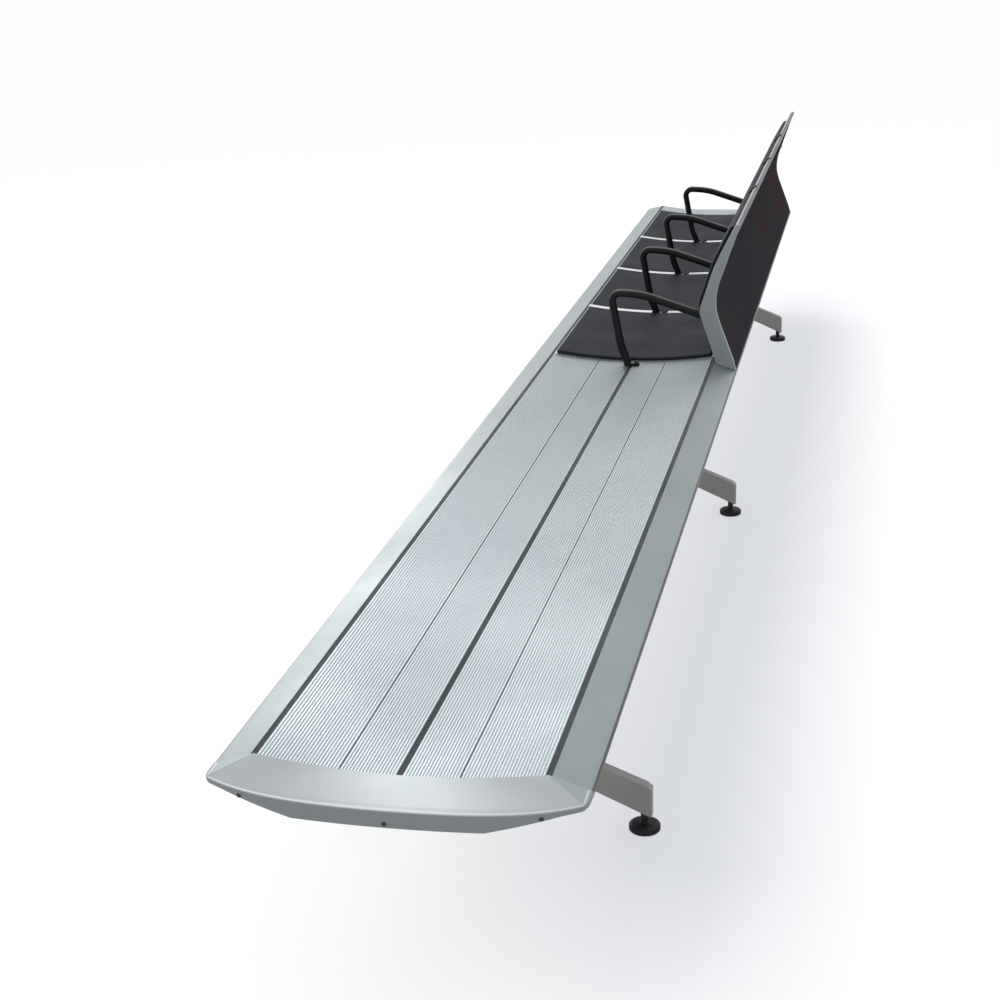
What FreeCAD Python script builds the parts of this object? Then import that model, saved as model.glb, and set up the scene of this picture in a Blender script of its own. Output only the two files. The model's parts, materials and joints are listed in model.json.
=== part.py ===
"""Beam seating: an eight-place bench, half ribbed deck and half upholstered seats with a back.

Frame in millimetres: X along the bench (deck at +X, seats at -X), sitters face -Y, +Z up,
origin on the floor under the middle of the bench.
"""
import FreeCAD, Part
import math
import os

os.makedirs("parts", exist_ok=True)
V = FreeCAD.Vector

# Bench along X
HALF_LENGTH = 2534.0          # deck, rails and beam end here, the end caps start here
SEAT_START = 0.0              # near edge of the first seat pad
SEAT_PITCH = 600.0
FIRST_BOUNDARY_X = -592.0      # the first place is shorter by half a pad gap
BOUNDARY_X = [FIRST_BOUNDARY_X - SEAT_PITCH * k for k in range(3)]
SEAT_END = BOUNDARY_X[-1] + FIRST_BOUNDARY_X
ARM_WIDTH, ARM_THICK, ARM_ROUND = 28.0, 19.0, 6.0
ARM_TO_PAD = 1.0
PAD_GAP = ARM_WIDTH + 2 * ARM_TO_PAD

# Dished section of the deck
CHANNEL_Y = 231.0             # middle of the outer dark channels
CHANNEL_WIDTH = 10.0
DISH_MID_Z = 425.5
DISH_RISE = 19.0
PLANK_JOINT_Y = 95.0
PLANK_JOINT_GAP = 1.6
PLANK_DEPTH = 16.0
PLANK_SKIN = 5.0
PLANK_FOOT = 5.0
RIB_PITCH = 5.4
GROOVE_DEPTH = 0.9
GROOVE_WIDTH = 1.8
CHANNEL_RECESS = 2.5
RAIL_SLOPE = 0.333
RAIL_EDGE_Y = 298.5
RAIL_WALL = 4.0
RAIL_TOP_Y = 293.0             # the sloping top ends here and the rounded nose starts
RAIL_NOSE = [(297.3, 420.6), (RAIL_EDGE_Y, 417.5), (297.0, 414.2)]
RAIL_HOLLOW_Y, RAIL_HOLLOW_Z = 287.0, 417.0
BELLY_Z = 384.0
BELLY_Y = 150.0
WING_Y, WING_Z = 262.0, 409.0
WING_RISE = 4.0

# Beam, bearers and legs
BEAM_WIDTH, BEAM_HEIGHT, BEAM_WALL = 100.0, 60.0, 5.0
BEAM_HALF = HALF_LENGTH - 25.0  # the caps hide its open ends
BEARER_WIDTH, BEARER_WALL = 50.0, 6.0
FIRST_ARM_X = 44.0
END_BEARER_INSET = 54.0
LAST_UPRIGHT_INSET = 100.0
DECK_BEARER_X = [660.0, 1570.0, HALF_LENGTH - END_BEARER_INSET]
SEAT_BEARER_X = [FIRST_ARM_X] + BOUNDARY_X + [LAST_UPRIGHT_INSET - HALF_LENGTH]
UPRIGHT_X = [FIRST_ARM_X, BOUNDARY_X[1], LAST_UPRIGHT_INSET - HALF_LENGTH]
UPRIGHT_WIDTH = 20.0
LEG_X = [HALF_LENGTH - 643.0, 65.0, 505.0 - HALF_LENGTH]
BLADE_THICK = 24.0
BLADE_HEIGHT = 56.0
BLADE_SLOPE = 0.40
BLADE_END_Y = 301.0
BLADE_END_Z = 33.0
BLADE_ROOT = [(0.0, 38.0), (10.0, 14.0), (30.0, 3.0), (55.0, 0.0)]
COLUMN_WIDTH = 84.0
COLUMN_THICK = 56.0
SADDLE_X, SADDLE_Y, SADDLE_THICK = 160.0, 120.0, 10.0
LEG_BOLT_R, LEG_BOLT_HEAD_R, LEG_BOLT_HEAD_H = 5.0, 8.5, 6.5
LEG_BOLT_X, LEG_BOLT_Y = 60.0, 38.0
BEARER_BOLT_R, BEARER_BOLT_HEAD_R, BEARER_BOLT_HEAD_H = 4.0, 6.5, 5.0
BEARER_BOLT_Y = 30.0
BOLT_CLEARANCE = 0.25

# Levelling feet
FOOT_Y = 286.0
FOOT_R = 30.0
FOOT_DISC_H = 17.0
STEM_R = 7.5
STEM_TOP_Z = 84.0
STEM_CLEARANCE = 0.3

# Back, as horizontal distances at each height
BACK_X0, BACK_X1 = -HALF_LENGTH, FIRST_ARM_X + 30.0
SIDE_CAP_THICK = 14.0
SHELL_THICK = 3.0
BACK_PAD_THICK = 14.0
FRONT_FACE = [(440, 242), (452, 238.1), (480, 229), (520, 215.5), (550, 205), (570, 198.5), (583, 195),
              (595, 195.5), (610, 199.5), (630, 206.5), (660, 216), (705, 231), (740, 246), (780, 266),
              (800, 276.5), (812, 283)]
REAR_FACE = [(423, 300), (440, 294), (452, 289.5), (480, 279), (520, 264), (550, 252.5), (570, 246),
             (583, 242.5), (595, 240.3), (610, 239.3), (630, 240), (660, 245.5), (705, 261), (740, 273),
             (780, 287), (800, 294), (812, 298)]
BACK_PAD_Z0, BACK_PAD_Z1 = 452.0, 812.0
BACK_FOOT_Z = 440.0
REAR_LIP_Y, REAR_LIP_GAP = 296.5, 1.5
TOP_RAIL_Z0 = 800.0
SIDE_SCREW_YZ = [(268.0, 470.0), (254.0, 690.0)]
SIDE_SCREW_R, SIDE_SCREW_LONG, SIDE_SCREW_SUNK = 4.0, 10.0, 1.0
TOP_NOSE = [(285.5, 817), (290, 825), (296, 829.5), (301, 829), (304, 825), (303, 820)]

# Seat pads
SEAT_PAD_THICK = 12.0
SEAT_PAD_Y = 221.0
SEAT_PAD_ROUND = 5.0
SEAT_PAD_LIFT = 0.25           # the pad's curved underside clears the faceted pan by this
PAN_THICK = 4.0

# Armrest loops
ARM_X = [FIRST_ARM_X] + BOUNDARY_X
ARM_PATH = [(-8.0, 428.0), (-28.0, 480.0), (-57.0, 632.0), (30.0, 628.0), (203.0, 571.0)]
ARM_RADII = [160.0, 24.0, 260.0]
ARM_BASE_Z = 425.7
ARM_BASE_H = 7.0
ARM_BASE_Y0, ARM_BASE_Y1 = -20.0, 24.0
ARM_SCREW_Y = 14.0
ARM_SCREW_R, ARM_SCREW_HEAD_R, ARM_SCREW_HEAD_H = 3.0, 5.0, 4.0

# End caps
LIP_MID_X, LIP_MID_Z = HALF_LENGTH + 93.0, 416.0
MITRE_X, MITRE_Y = HALF_LENGTH + 48.0, 291.0
CAP_STEPS = 8
CAP_CORNER_X, CAP_BEND_X, CAP_BEND_Y = HALF_LENGTH + 22.0, HALF_LENGTH + 35.0, 297.0
CAP_POCKET_Y, CAP_POCKET_X, CAP_POCKET_Z0, CAP_POCKET_Z1 = 215.0, MITRE_X, 397.0, 414.0
CAP_SCREW_YZ = [(-232.0, 408.5), (0.0, 392.5), (232.0, 408.5)]
CAP_SCREW_HEAD_R, CAP_SCREW_R = 4.0, 2.5

DISH_RADIUS = (CHANNEL_Y ** 2 + DISH_RISE ** 2) / (2 * DISH_RISE)
DISH_CENTRE_Z = DISH_MID_Z + DISH_RADIUS
CHANNEL_HALF = CHANNEL_WIDTH / 2
INNER_EDGE_Y = CHANNEL_Y - CHANNEL_HALF
OUTER_EDGE_Y = CHANNEL_Y + CHANNEL_HALF
BEAM_TOP_Z = BELLY_Z
BEAM_BOTTOM_Z = BELLY_Z - BEAM_HEIGHT


def dish_z(y):
    """Height of the dished top at distance y from the middle."""
    return DISH_CENTRE_Z - math.sqrt(DISH_RADIUS ** 2 - y * y)


def rail_z(y):
    """Height of the sloping top of a side rail."""
    return DISH_MID_Z + DISH_RISE - RAIL_SLOPE * (abs(y) - CHANNEL_Y)


def belly_z(y):
    """Height of the lens-shaped underside."""
    a = abs(y)
    if a <= BELLY_Y:
        return BELLY_Z
    if a <= WING_Y:
        return BELLY_Z + (WING_Z - BELLY_Z) * (a - BELLY_Y) / (WING_Y - BELLY_Y)
    return WING_Z + WING_RISE * (a - WING_Y) / (RAIL_EDGE_Y - WING_Y)


def support_z(y):
    """Height of the flat facets on the bearers that carry planks and pans."""
    a = abs(y)
    knots = [(0.0, dish_z(0.0)), (PLANK_JOINT_Y, dish_z(PLANK_JOINT_Y)), (OUTER_EDGE_Y, dish_z(OUTER_EDGE_Y))]
    for (y0, z0), (y1, z1) in zip(knots, knots[1:]):
        if a <= y1:
            return z0 + (z1 - z0) * (a - y0) / (y1 - y0) - PLANK_DEPTH
    return knots[-1][1] - PLANK_DEPTH


def table(rows, z):
    """Straight-line reading of a (height, distance) table."""
    for (z0, y0), (z1, y1) in zip(rows, rows[1:]):
        if z <= z1:
            return y0 + (y1 - y0) * (z - z0) / (z1 - z0)
    return rows[-1][1]


def front_y(z):
    return table(FRONT_FACE, z)


def rear_y(z):
    return table(REAR_FACE, z)


def save(name, shape):
    shape.exportStep(os.path.join("parts", name + ".step"))


def prism_x(points, x0, x1):
    """Solid with a (y, z) outline running from x0 to x1."""
    pts = [V(x0, y, z) for y, z in points]
    return Part.Face(Part.makePolygon(pts + pts[:1])).extrude(V(x1 - x0, 0, 0))


def box(x0, x1, y0, y1, z0, z1):
    return Part.makeBox(x1 - x0, y1 - y0, z1 - z0, V(x0, y0, z0))


def rod(x, y, z0, z1, r):
    return Part.makeCylinder(r, z1 - z0, V(x, y, z0))


def mirror_y(shape):
    return shape.mirror(V(0, 0, 0), V(0, 1, 0))


def plank(y0, y1):
    """Ribbed deck plank: fine V grooves on top, three feet below."""
    count = round((y1 - y0) / RIB_PITCH)
    pitch = (y1 - y0) / count
    top = []
    for k in range(count):
        a = y0 + k * pitch
        b = a + pitch - GROOVE_WIDTH
        m = a + pitch - GROOVE_WIDTH / 2
        top += [(a, dish_z(a)), (b, dish_z(b)), (m, dish_z(m) - GROOVE_DEPTH)]
    top[-1] = (y1, dish_z(y1))
    mid = (y0 + y1) / 2
    feet = [(y1 - PLANK_FOOT, y1), (mid - PLANK_FOOT / 2, mid + PLANK_FOOT / 2), (y0, y0 + PLANK_FOOT)]
    under = []
    for a, b in feet:
        skin_b, skin_a = dish_z(b) - PLANK_SKIN, dish_z(a) - PLANK_SKIN
        if b < y1:
            under.append((b, skin_b))
        under += [(b, support_z(b)), (a, support_z(a))]
        if a > y0:
            under.append((a, skin_a))
    return prism_x(top + under, SEAT_START, HALF_LENGTH)


def channel_strip(y_mid, x0, x1):
    """Dark strip sunk between planks and rails."""
    a, b = y_mid - CHANNEL_HALF, y_mid + CHANNEL_HALF
    top = dish_z(abs(y_mid)) - CHANNEL_RECESS
    if a < 0 < b:
        low = [(b, support_z(b)), (0.0, support_z(0.0)), (a, support_z(a))]
    else:
        low = [(b, support_z(b)), (a, support_z(a))]
    return prism_x([(a, top), (b, top)] + low, x0, x1)


def side_rail():
    """Hollow wing-shaped rail on the +Y side."""
    outer = [(OUTER_EDGE_Y, rail_z(OUTER_EDGE_Y)), (RAIL_TOP_Y, rail_z(RAIL_TOP_Y))] + RAIL_NOSE
    outer += [(WING_Y, WING_Z), (OUTER_EDGE_Y, belly_z(OUTER_EDGE_Y))]
    w = RAIL_WALL
    inner = [(OUTER_EDGE_Y + w, rail_z(OUTER_EDGE_Y + w) - w), (RAIL_HOLLOW_Y, rail_z(RAIL_HOLLOW_Y) - w),
             (RAIL_HOLLOW_Y, RAIL_HOLLOW_Z),
             (WING_Y, WING_Z + w), (OUTER_EDGE_Y + w, belly_z(OUTER_EDGE_Y + w) + w)]
    return prism_x(outer, -HALF_LENGTH, HALF_LENGTH).cut(prism_x(inner, -HALF_LENGTH, HALF_LENGTH))


def main_beam():
    h, w = BEAM_WIDTH / 2, BEAM_WALL
    beam = box(-BEAM_HALF, BEAM_HALF, -h, h, BEAM_BOTTOM_Z, BEAM_TOP_Z)
    beam = beam.cut(box(-BEAM_HALF, BEAM_HALF, -h + w, h - w, BEAM_BOTTOM_Z + w, BEAM_TOP_Z - w))
    holes = [rod(x, y, BEAM_BOTTOM_Z - 1, BEAM_BOTTOM_Z + w + 1, LEG_BOLT_R + BOLT_CLEARANCE)
             for x, y in leg_bolt_places()]
    holes += [rod(x, y, BEAM_TOP_Z - w - 1, BEAM_TOP_Z + 1, BEARER_BOLT_R + BOLT_CLEARANCE)
              for x, y in bearer_bolt_places()]
    return beam.cut(Part.makeCompound(holes))


def leg_bolt_places():
    return [(x + sx * LEG_BOLT_X, sy * LEG_BOLT_Y) for x in LEG_X for sx in (-1, 1) for sy in (-1, 1)]


def bearer_bolt_places():
    return [(x, sy * BEARER_BOLT_Y) for x in DECK_BEARER_X + SEAT_BEARER_X for sy in (-1, 1)]


def bearer(x):
    """Inverted channel across the beam, with facets that carry the planks."""
    e, j = OUTER_EDGE_Y, PLANK_JOINT_Y
    outline = [(-e, support_z(e)), (-j, support_z(j)), (0, support_z(0)), (j, support_z(j)), (e, support_z(e)),
               (e, belly_z(e)), (BELLY_Y, BELLY_Z), (-BELLY_Y, BELLY_Z), (-e, belly_z(e))]
    t = BEARER_WALL
    hollow = [(-e + t, support_z(e) - t), (-j, support_z(j) - t), (0, support_z(0) - t), (j, support_z(j) - t),
              (e - t, support_z(e) - t), (e - t, BELLY_Z - 5), (-e + t, BELLY_Z - 5)]
    half = BEARER_WIDTH / 2
    solid = prism_x(outline, x - half, x + half).cut(prism_x(hollow, x - half + t, x + half - t))
    holes = [rod(x, s * BEARER_BOLT_Y, BELLY_Z, DISH_MID_Z, BEARER_BOLT_R + BOLT_CLEARANCE) for s in (-1, 1)]
    return solid.cut(Part.makeCompound(holes))


def back_outline(inset):
    """Outline of the back's inside, between the two shells."""
    levels = [z for z, _ in REAR_FACE if BACK_FOOT_Z <= z <= TOP_RAIL_Z0]
    fronts = [(front_y(z) + inset, z) for z in levels]
    rears = [(rear_y(z) - inset, z) for z in reversed(levels)]
    return fronts + rears


def upright_outline():
    """Back upright with its foot on the side rail and the bearer."""
    pts = back_outline(SHELL_THICK)
    foot_rear = rear_y(BACK_FOOT_Z) - SHELL_THICK
    foot_front = front_y(BACK_FOOT_Z) + SHELL_THICK
    return pts + [(foot_rear, rail_z(foot_rear)), (foot_front, rail_z(foot_front))]


def back_upright(x, arms):
    """Cast upright inside the back, standing on the side rail."""
    half = UPRIGHT_WIDTH / 2
    return prism_x(upright_outline(), x - half, x + half).cut(arms)


def seat_pan(x0, x1):
    """Thin pan that follows the dish and stands on three feet."""
    e = INNER_EDGE_Y
    steps = [e * k / 8.0 for k in range(-8, 9)]
    top = [(y, dish_z(y)) for y in steps]
    f = PLANK_FOOT
    under = []
    for a, b in [(e - f, e), (-f, f), (-e, -e + f)]:
        if b < e:
            under.append((b, dish_z(b) - PAN_THICK))
        if a < 0 < b:
            under += [(b, support_z(b)), (0, support_z(0)), (a, support_z(a))]
        else:
            under += [(b, support_z(b)), (a, support_z(a))]
        if a > -e:
            under.append((a, dish_z(a) - PAN_THICK))
            nxt = [y for y in reversed(steps) if (0 < y < a) or (y < 0 and a <= 0 and -e + f < y < a)]
            under += [(y, dish_z(y) - PAN_THICK) for y in nxt if abs(y) > f]
    return prism_x(top + under, x1, x0)


def seat_pad(x0, x1):
    """Dished pad of even thickness with rounded top edges."""
    def arc(radius, flip):
        ys = (-SEAT_PAD_Y, 0.0, SEAT_PAD_Y)
        p = [V(x1, y, DISH_CENTRE_Z - math.sqrt((radius - SEAT_PAD_LIFT) ** 2 - y * y)) for y in ys]
        return Part.Arc(*(reversed(p) if flip else p)).toShape(), p[0], p[-1]
    low, low_a, low_b = arc(DISH_RADIUS, False)
    high, high_a, high_b = arc(DISH_RADIUS - SEAT_PAD_THICK, True)
    wire = Part.Wire([low, Part.makeLine(low_b, high_b), high, Part.makeLine(high_a, low_a)])
    pad = Part.Face(wire).extrude(V(x0 - x1, 0, 0))
    lift = SEAT_PAD_THICK / 2
    top = [ed for ed in pad.Edges
           if all(v.Z > dish_z(v.Y) + lift for v in ed.Vertexes)]
    return pad.makeFillet(SEAT_PAD_ROUND, top)


def back_strip(z0, z1, near, far, x0, x1):
    """Prism between two horizontal offsets from the back's front face."""
    levels = [z0] + [z for z, _ in FRONT_FACE if z0 < z < z1] + [z1]
    pts = [(front_y(z) + near, z) for z in levels] + [(front_y(z) + far, z) for z in reversed(levels)]
    return prism_x(pts, x0, x1)


def front_shell(arms):
    x1 = BACK_X1 - SIDE_CAP_THICK
    x0 = BACK_X0 + SIDE_CAP_THICK
    levels = [z for z, _ in FRONT_FACE if z <= TOP_RAIL_Z0]
    pts = [(front_y(z), z) for z in levels] + [(front_y(z) + SHELL_THICK, z) for z in reversed(levels)]
    foot = front_y(BACK_FOOT_Z)
    pts[0] = (foot, rail_z(foot))
    pts[-1] = (foot + SHELL_THICK, rail_z(foot + SHELL_THICK))
    return prism_x(pts, x0, x1).cut(arms)


def rear_panel():
    x1 = BACK_X1 - SIDE_CAP_THICK
    x0 = BACK_X0 + SIDE_CAP_THICK
    levels = [z for z, _ in REAR_FACE if BACK_FOOT_Z <= z <= TOP_RAIL_Z0]
    pts = [(REAR_LIP_Y, rail_z(REAR_LIP_Y) + REAR_LIP_GAP)] + [(rear_y(z), z) for z in levels]
    pts += [(rear_y(z) - SHELL_THICK, z) for z in reversed(levels)]
    foot = rear_y(BACK_FOOT_Z) - SHELL_THICK
    pts += [(foot, rail_z(foot)), (RAIL_TOP_Y, rail_z(RAIL_TOP_Y))]
    return prism_x(pts, x0, x1)


def top_outline():
    levels = [TOP_RAIL_Z0, BACK_PAD_Z1]
    return [(front_y(z), z) for z in levels] + TOP_NOSE + [(rear_y(z), z) for z in reversed(levels)]


def side_cap(x0):
    """Cast plate that closes one end of the back."""
    foot_front, foot_rear = front_y(BACK_FOOT_Z), RAIL_TOP_Y
    fronts = [(foot_front, rail_z(foot_front))] + [(front_y(z), z) for z, _ in FRONT_FACE[1:]]
    rears = [(rear_y(z), z) for z, _ in reversed(REAR_FACE[1:])]
    pts = fronts + TOP_NOSE + rears + [(REAR_LIP_Y, rail_z(REAR_LIP_Y) + REAR_LIP_GAP), (foot_rear, rail_z(foot_rear))]
    return prism_x(pts, x0, x0 + SIDE_CAP_THICK)


def corner_offsets(side):
    """Offset points of the armrest path on one side, as (start, arcs, end)."""
    p = ARM_PATH
    dirs = []
    for (y0, z0), (y1, z1) in zip(p, p[1:]):
        n = math.hypot(y1 - y0, z1 - z0)
        dirs.append(((y1 - y0) / n, (z1 - z0) / n))

    def shift(point, d):
        return point[0] - side * d[1], point[1] + side * d[0]
    edges = []
    start = shift(p[0], dirs[0])
    last = start
    for k, r in enumerate(ARM_RADII):
        c, d0, d1 = p[k + 1], dirs[k], dirs[k + 1]
        cross = d0[0] * d1[1] - d0[1] * d1[0]
        turn = math.acos(max(-1.0, min(1.0, d0[0] * d1[0] + d0[1] * d1[1])))
        t = r * math.tan(turn / 2)
        a = (c[0] - d0[0] * t, c[1] - d0[1] * t)
        b = (c[0] + d1[0] * t, c[1] + d1[1] * t)
        s = 1.0 if cross > 0 else -1.0
        centre = (a[0] - s * d0[1] * r, a[1] + s * d0[0] * r)
        mid_dir = (c[0] - centre[0], c[1] - centre[1])
        n = math.hypot(*mid_dir)
        rr = r - s * side
        m = (centre[0] + mid_dir[0] / n * rr, centre[1] + mid_dir[1] / n * rr)
        a2, b2 = shift(a, d0), shift(b, d1)
        edges.append(("line", last, a2))
        edges.append(("arc", a2, m, b2))
        last = b2
    end = shift(p[-1], dirs[-1])
    edges.append(("line", last, end))
    return start, edges, end


def armrest(x):
    """Loop armrest: leaning post, tight front bend, arched bar, and a flat base with a screw hole."""
    half = ARM_WIDTH / 2

    def pt(q):
        return V(x - half, q[0], q[1])
    s0, left, e0 = corner_offsets(ARM_THICK / 2)
    s1, right, e1 = corner_offsets(-ARM_THICK / 2)
    edges = []
    for group in (left, right):
        for item in group:
            if item[0] == "line":
                edges.append(Part.makeLine(pt(item[1]), pt(item[2])))
            else:
                edges.append(Part.Arc(pt(item[1]), pt(item[2]), pt(item[3])).toShape())
    edges += [Part.makeLine(pt(s0), pt(s1)), Part.makeLine(pt(e0), pt(e1))]
    wire = Part.Wire(Part.__sortEdges__(edges))
    loop = Part.Face(wire).extrude(V(ARM_WIDTH, 0, 0))
    rounded = [e for e in loop.Edges
               if abs(abs(e.CenterOfMass.x - x) - half) < 0.01
               and not (e.CenterOfMass.z < 429.5) and e.CenterOfMass.y < 200.0]
    loop = loop.makeFillet(ARM_ROUND, rounded)
    ym0, ym1 = ARM_BASE_Y0 + half, ARM_BASE_Y1 - half
    z0, z1 = ARM_BASE_Z, ARM_BASE_Z + ARM_BASE_H
    base = rod(x, ym0, z0, z1, half).fuse(rod(x, ym1, z0, z1, half))
    base = base.fuse(box(x - half, x + half, ym0, ym1, z0, z1))
    arm = loop.fuse(base).cut(box(x - 50, x + 50, -60, 60, ARM_BASE_Z - 20, ARM_BASE_Z)).removeSplitter()
    hole = rod(x, ARM_SCREW_Y, z0 - 1, z1 + 1, ARM_SCREW_R + BOLT_CLEARANCE)
    return arm.cut(hole)


def arm_screw(x):
    top = ARM_BASE_Z + ARM_BASE_H
    head = rod(x, ARM_SCREW_Y, top, top + ARM_SCREW_HEAD_H, ARM_SCREW_HEAD_R)
    socket = rod(x, ARM_SCREW_Y, top + 1.5, top + ARM_SCREW_HEAD_H + 1, 2.5)
    return head.fuse(rod(x, ARM_SCREW_Y, ARM_BASE_Z + 0.2, top, ARM_SCREW_R)).cut(socket)


def polyhedron(faces):
    """Closed solid sewn from flat polygons."""
    shell = Part.makeShell([Part.Face(Part.makePolygon([V(*p) for p in f + f[:1]])) for f in faces])
    shell.sewShape()
    solid = Part.makeSolid(shell.Shells[0] if shell.Shells else shell)
    if solid.Volume < 0:
        solid.reverse()
    return solid


def lip_outline():
    """Top edge of the cap from one mitre to the other: (x, y, z) points on a shallow bulge."""
    pts = []
    for k in range(-CAP_STEPS, CAP_STEPS + 1):
        u = k / float(CAP_STEPS)
        y = MITRE_Y * u
        q = u * u
        x = LIP_MID_X - (LIP_MID_X - MITRE_X) * (0.55 * q + 0.45 * abs(u) ** 5)
        z = LIP_MID_Z + (rail_z(MITRE_Y) - LIP_MID_Z) * abs(u) ** 3
        pts.append((x, y, z))
    return pts


def belly_outline(top):
    """Outline of everything between the lens-shaped underside and a flat level."""
    half = [(RAIL_EDGE_Y + 1, belly_z(RAIL_EDGE_Y)), (RAIL_EDGE_Y, belly_z(RAIL_EDGE_Y)), (WING_Y, WING_Z),
            (BELLY_Y, BELLY_Z)]
    under = half + [(-y, z) for y, z in reversed(half)]
    return under + [(-RAIL_EDGE_Y - 1, top), (RAIL_EDGE_Y + 1, top)]


def cap_body():
    """Cast end cap at the +X end: dished inner edge, low bulging lip, lens-shaped face."""
    h, floor = HALF_LENGTH, BELLY_Z - 20.0
    lip = lip_outline()
    steps = [CHANNEL_Y * k / float(CAP_STEPS) for k in range(-CAP_STEPS, CAP_STEPS + 1)]
    inner = [(h, y, dish_z(y)) for y in steps]
    corner = [(h, RAIL_EDGE_Y, rail_z(RAIL_EDGE_Y)), (CAP_CORNER_X, RAIL_EDGE_Y, rail_z(RAIL_EDGE_Y)),
              (CAP_BEND_X, CAP_BEND_Y, rail_z(CAP_BEND_Y))]
    mirrored = [(x, -y, z) for x, y, z in corner]
    outline = mirrored + lip + corner[::-1]
    faces = []
    for k in range(2 * CAP_STEPS):
        faces.append([inner[k], lip[k], lip[k + 1]])
        faces.append([inner[k], lip[k + 1], inner[k + 1]])
    faces.append([inner[-1], lip[-1]] + corner[::-1])
    faces.append([inner[0]] + mirrored + [lip[0]])
    for a, b in zip(outline, outline[1:]):
        faces.append([a, (a[0], a[1], floor), (b[0], b[1], floor), b])
    faces.append([(x, y, floor) for x, y, _ in reversed(outline)])
    faces.append([mirrored[0]] + inner + [corner[0], (h, RAIL_EDGE_Y, floor), (h, -RAIL_EDGE_Y, floor)])
    return polyhedron(faces).common(prism_x(belly_outline(DISH_CENTRE_Z), h, LIP_MID_X + 10))


def end_cap():
    cap = cap_body()
    cap = cap.cut(box(HALF_LENGTH - 1, CAP_POCKET_X, -CAP_POCKET_Y, CAP_POCKET_Y, CAP_POCKET_Z0, CAP_POCKET_Z1))
    for y, z in CAP_SCREW_YZ:
        x = lip_x(y)
        cap = cap.cut(Part.makeCylinder(CAP_SCREW_HEAD_R + 0.1, 20, V(x - 4, y, z), V(1, 0, 0)))
        cap = cap.cut(Part.makeCylinder(CAP_SCREW_R + 0.1, 120, V(HALF_LENGTH - 5, y, z), V(1, 0, 0)))
    return cap


def lip_x(y):
    lip = lip_outline()
    for (x0, y0, _), (x1, y1, _) in zip(lip, lip[1:]):
        if y0 <= y <= y1:
            return x0 + (x1 - x0) * (y - y0) / (y1 - y0)
    return MITRE_X


def cap_screws(sign):
    out = []
    for y, z in CAP_SCREW_YZ:
        x = lip_x(y)
        screw = Part.makeCylinder(CAP_SCREW_HEAD_R, 3.0, V(x - 4, y, z), V(1, 0, 0))
        screw = screw.fuse(Part.makeCylinder(CAP_SCREW_R, x - 4 - HALF_LENGTH, V(HALF_LENGTH, y, z), V(1, 0, 0)))
        out.append(screw if sign > 0 else screw.mirror(V(0, 0, 0), V(1, 0, 0)))
    return out


def leg(x):
    """Cast leg: column under the beam and two flat blades that slope down to the feet."""
    s, top_end = BLADE_SLOPE, BLADE_END_Z + BLADE_HEIGHT
    e = BLADE_END_Y

    def top(y):
        return top_end + 8 + s * (e - 9 - y)

    def bottom(y):
        return BLADE_END_Z + s * 1.08 * (e - y)
    c = COLUMN_WIDTH / 2
    saddle_z = BEAM_BOTTOM_Z - SADDLE_THICK
    root = [(c + out, top(c + out) + up) for out, up in BLADE_ROOT]
    right = [(c, saddle_z)] + root + [(e - 9, top(e - 9)), (e, top_end), (e, BLADE_END_Z), (e - 4, BLADE_END_Z)]
    right += [(190, bottom(190)), (90, bottom(90)), (30, bottom(60) + 8)]
    outline = right + [(-y, z) for y, z in reversed(right)]
    blade = prism_x(outline, x - BLADE_THICK / 2, x + BLADE_THICK / 2)
    ends = [ed for ed in blade.Edges
            if ed.Length > BLADE_HEIGHT - 2 and abs(abs(ed.CenterOfMass.y) - e) < 0.1
            and abs(ed.CenterOfMass.x - x) > 1]
    blade = blade.makeFillet(BLADE_THICK / 2 - 1.0, ends)
    column = box(x - COLUMN_THICK / 2, x + COLUMN_THICK / 2, -c, c, 190, saddle_z)
    upright = [ed for ed in column.Edges if abs(ed.Vertexes[0].Z - ed.Vertexes[-1].Z) > 50]
    column = column.makeFillet(10.0, upright)
    saddle = box(x - SADDLE_X / 2, x + SADDLE_X / 2, -SADDLE_Y / 2, SADDLE_Y / 2, saddle_z, BEAM_BOTTOM_Z)
    body = blade.fuse([column, saddle]).removeSplitter()
    holes = [rod(x + sx * LEG_BOLT_X, sy * LEG_BOLT_Y, saddle_z - 1, BEAM_BOTTOM_Z + 1, LEG_BOLT_R + BOLT_CLEARANCE)
             for sx in (-1, 1) for sy in (-1, 1)]
    bores = [rod(x, sy * FOOT_Y, 20, STEM_TOP_Z + 4, STEM_R + STEM_CLEARANCE) for sy in (-1, 1)]
    return body.cut(Part.makeCompound(holes)).cut(Part.makeCompound(bores))


def leg_bolt(x, y):
    z = BEAM_BOTTOM_Z - SADDLE_THICK
    head = rod(x, y, z - LEG_BOLT_HEAD_H, z, LEG_BOLT_HEAD_R)
    return head.fuse(rod(x, y, z, BEAM_BOTTOM_Z + BEAM_WALL + 4, LEG_BOLT_R))


def bearer_bolt(x, y):
    z = support_z(y) + 0.2
    head = rod(x, y, z, z + BEARER_BOLT_HEAD_H, BEARER_BOLT_HEAD_R)
    return head.fuse(rod(x, y, BEAM_TOP_Z - BEAM_WALL - 4, z, BEARER_BOLT_R))


def levelling_foot(x, y):
    """Round foot: bevelled disc on a plain round stem that screws up into the blade."""
    disc = Part.makeCone(FOOT_R - 2, FOOT_R, 2, V(x, y, 0))
    disc = disc.fuse(rod(x, y, 2, FOOT_DISC_H - 4, FOOT_R))
    disc = disc.fuse(Part.makeCone(FOOT_R, FOOT_R - 5, 4, V(x, y, FOOT_DISC_H - 4)))
    stem = rod(x, y, FOOT_DISC_H, STEM_TOP_Z, STEM_R)
    return disc.fuse(stem).removeSplitter()


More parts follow.
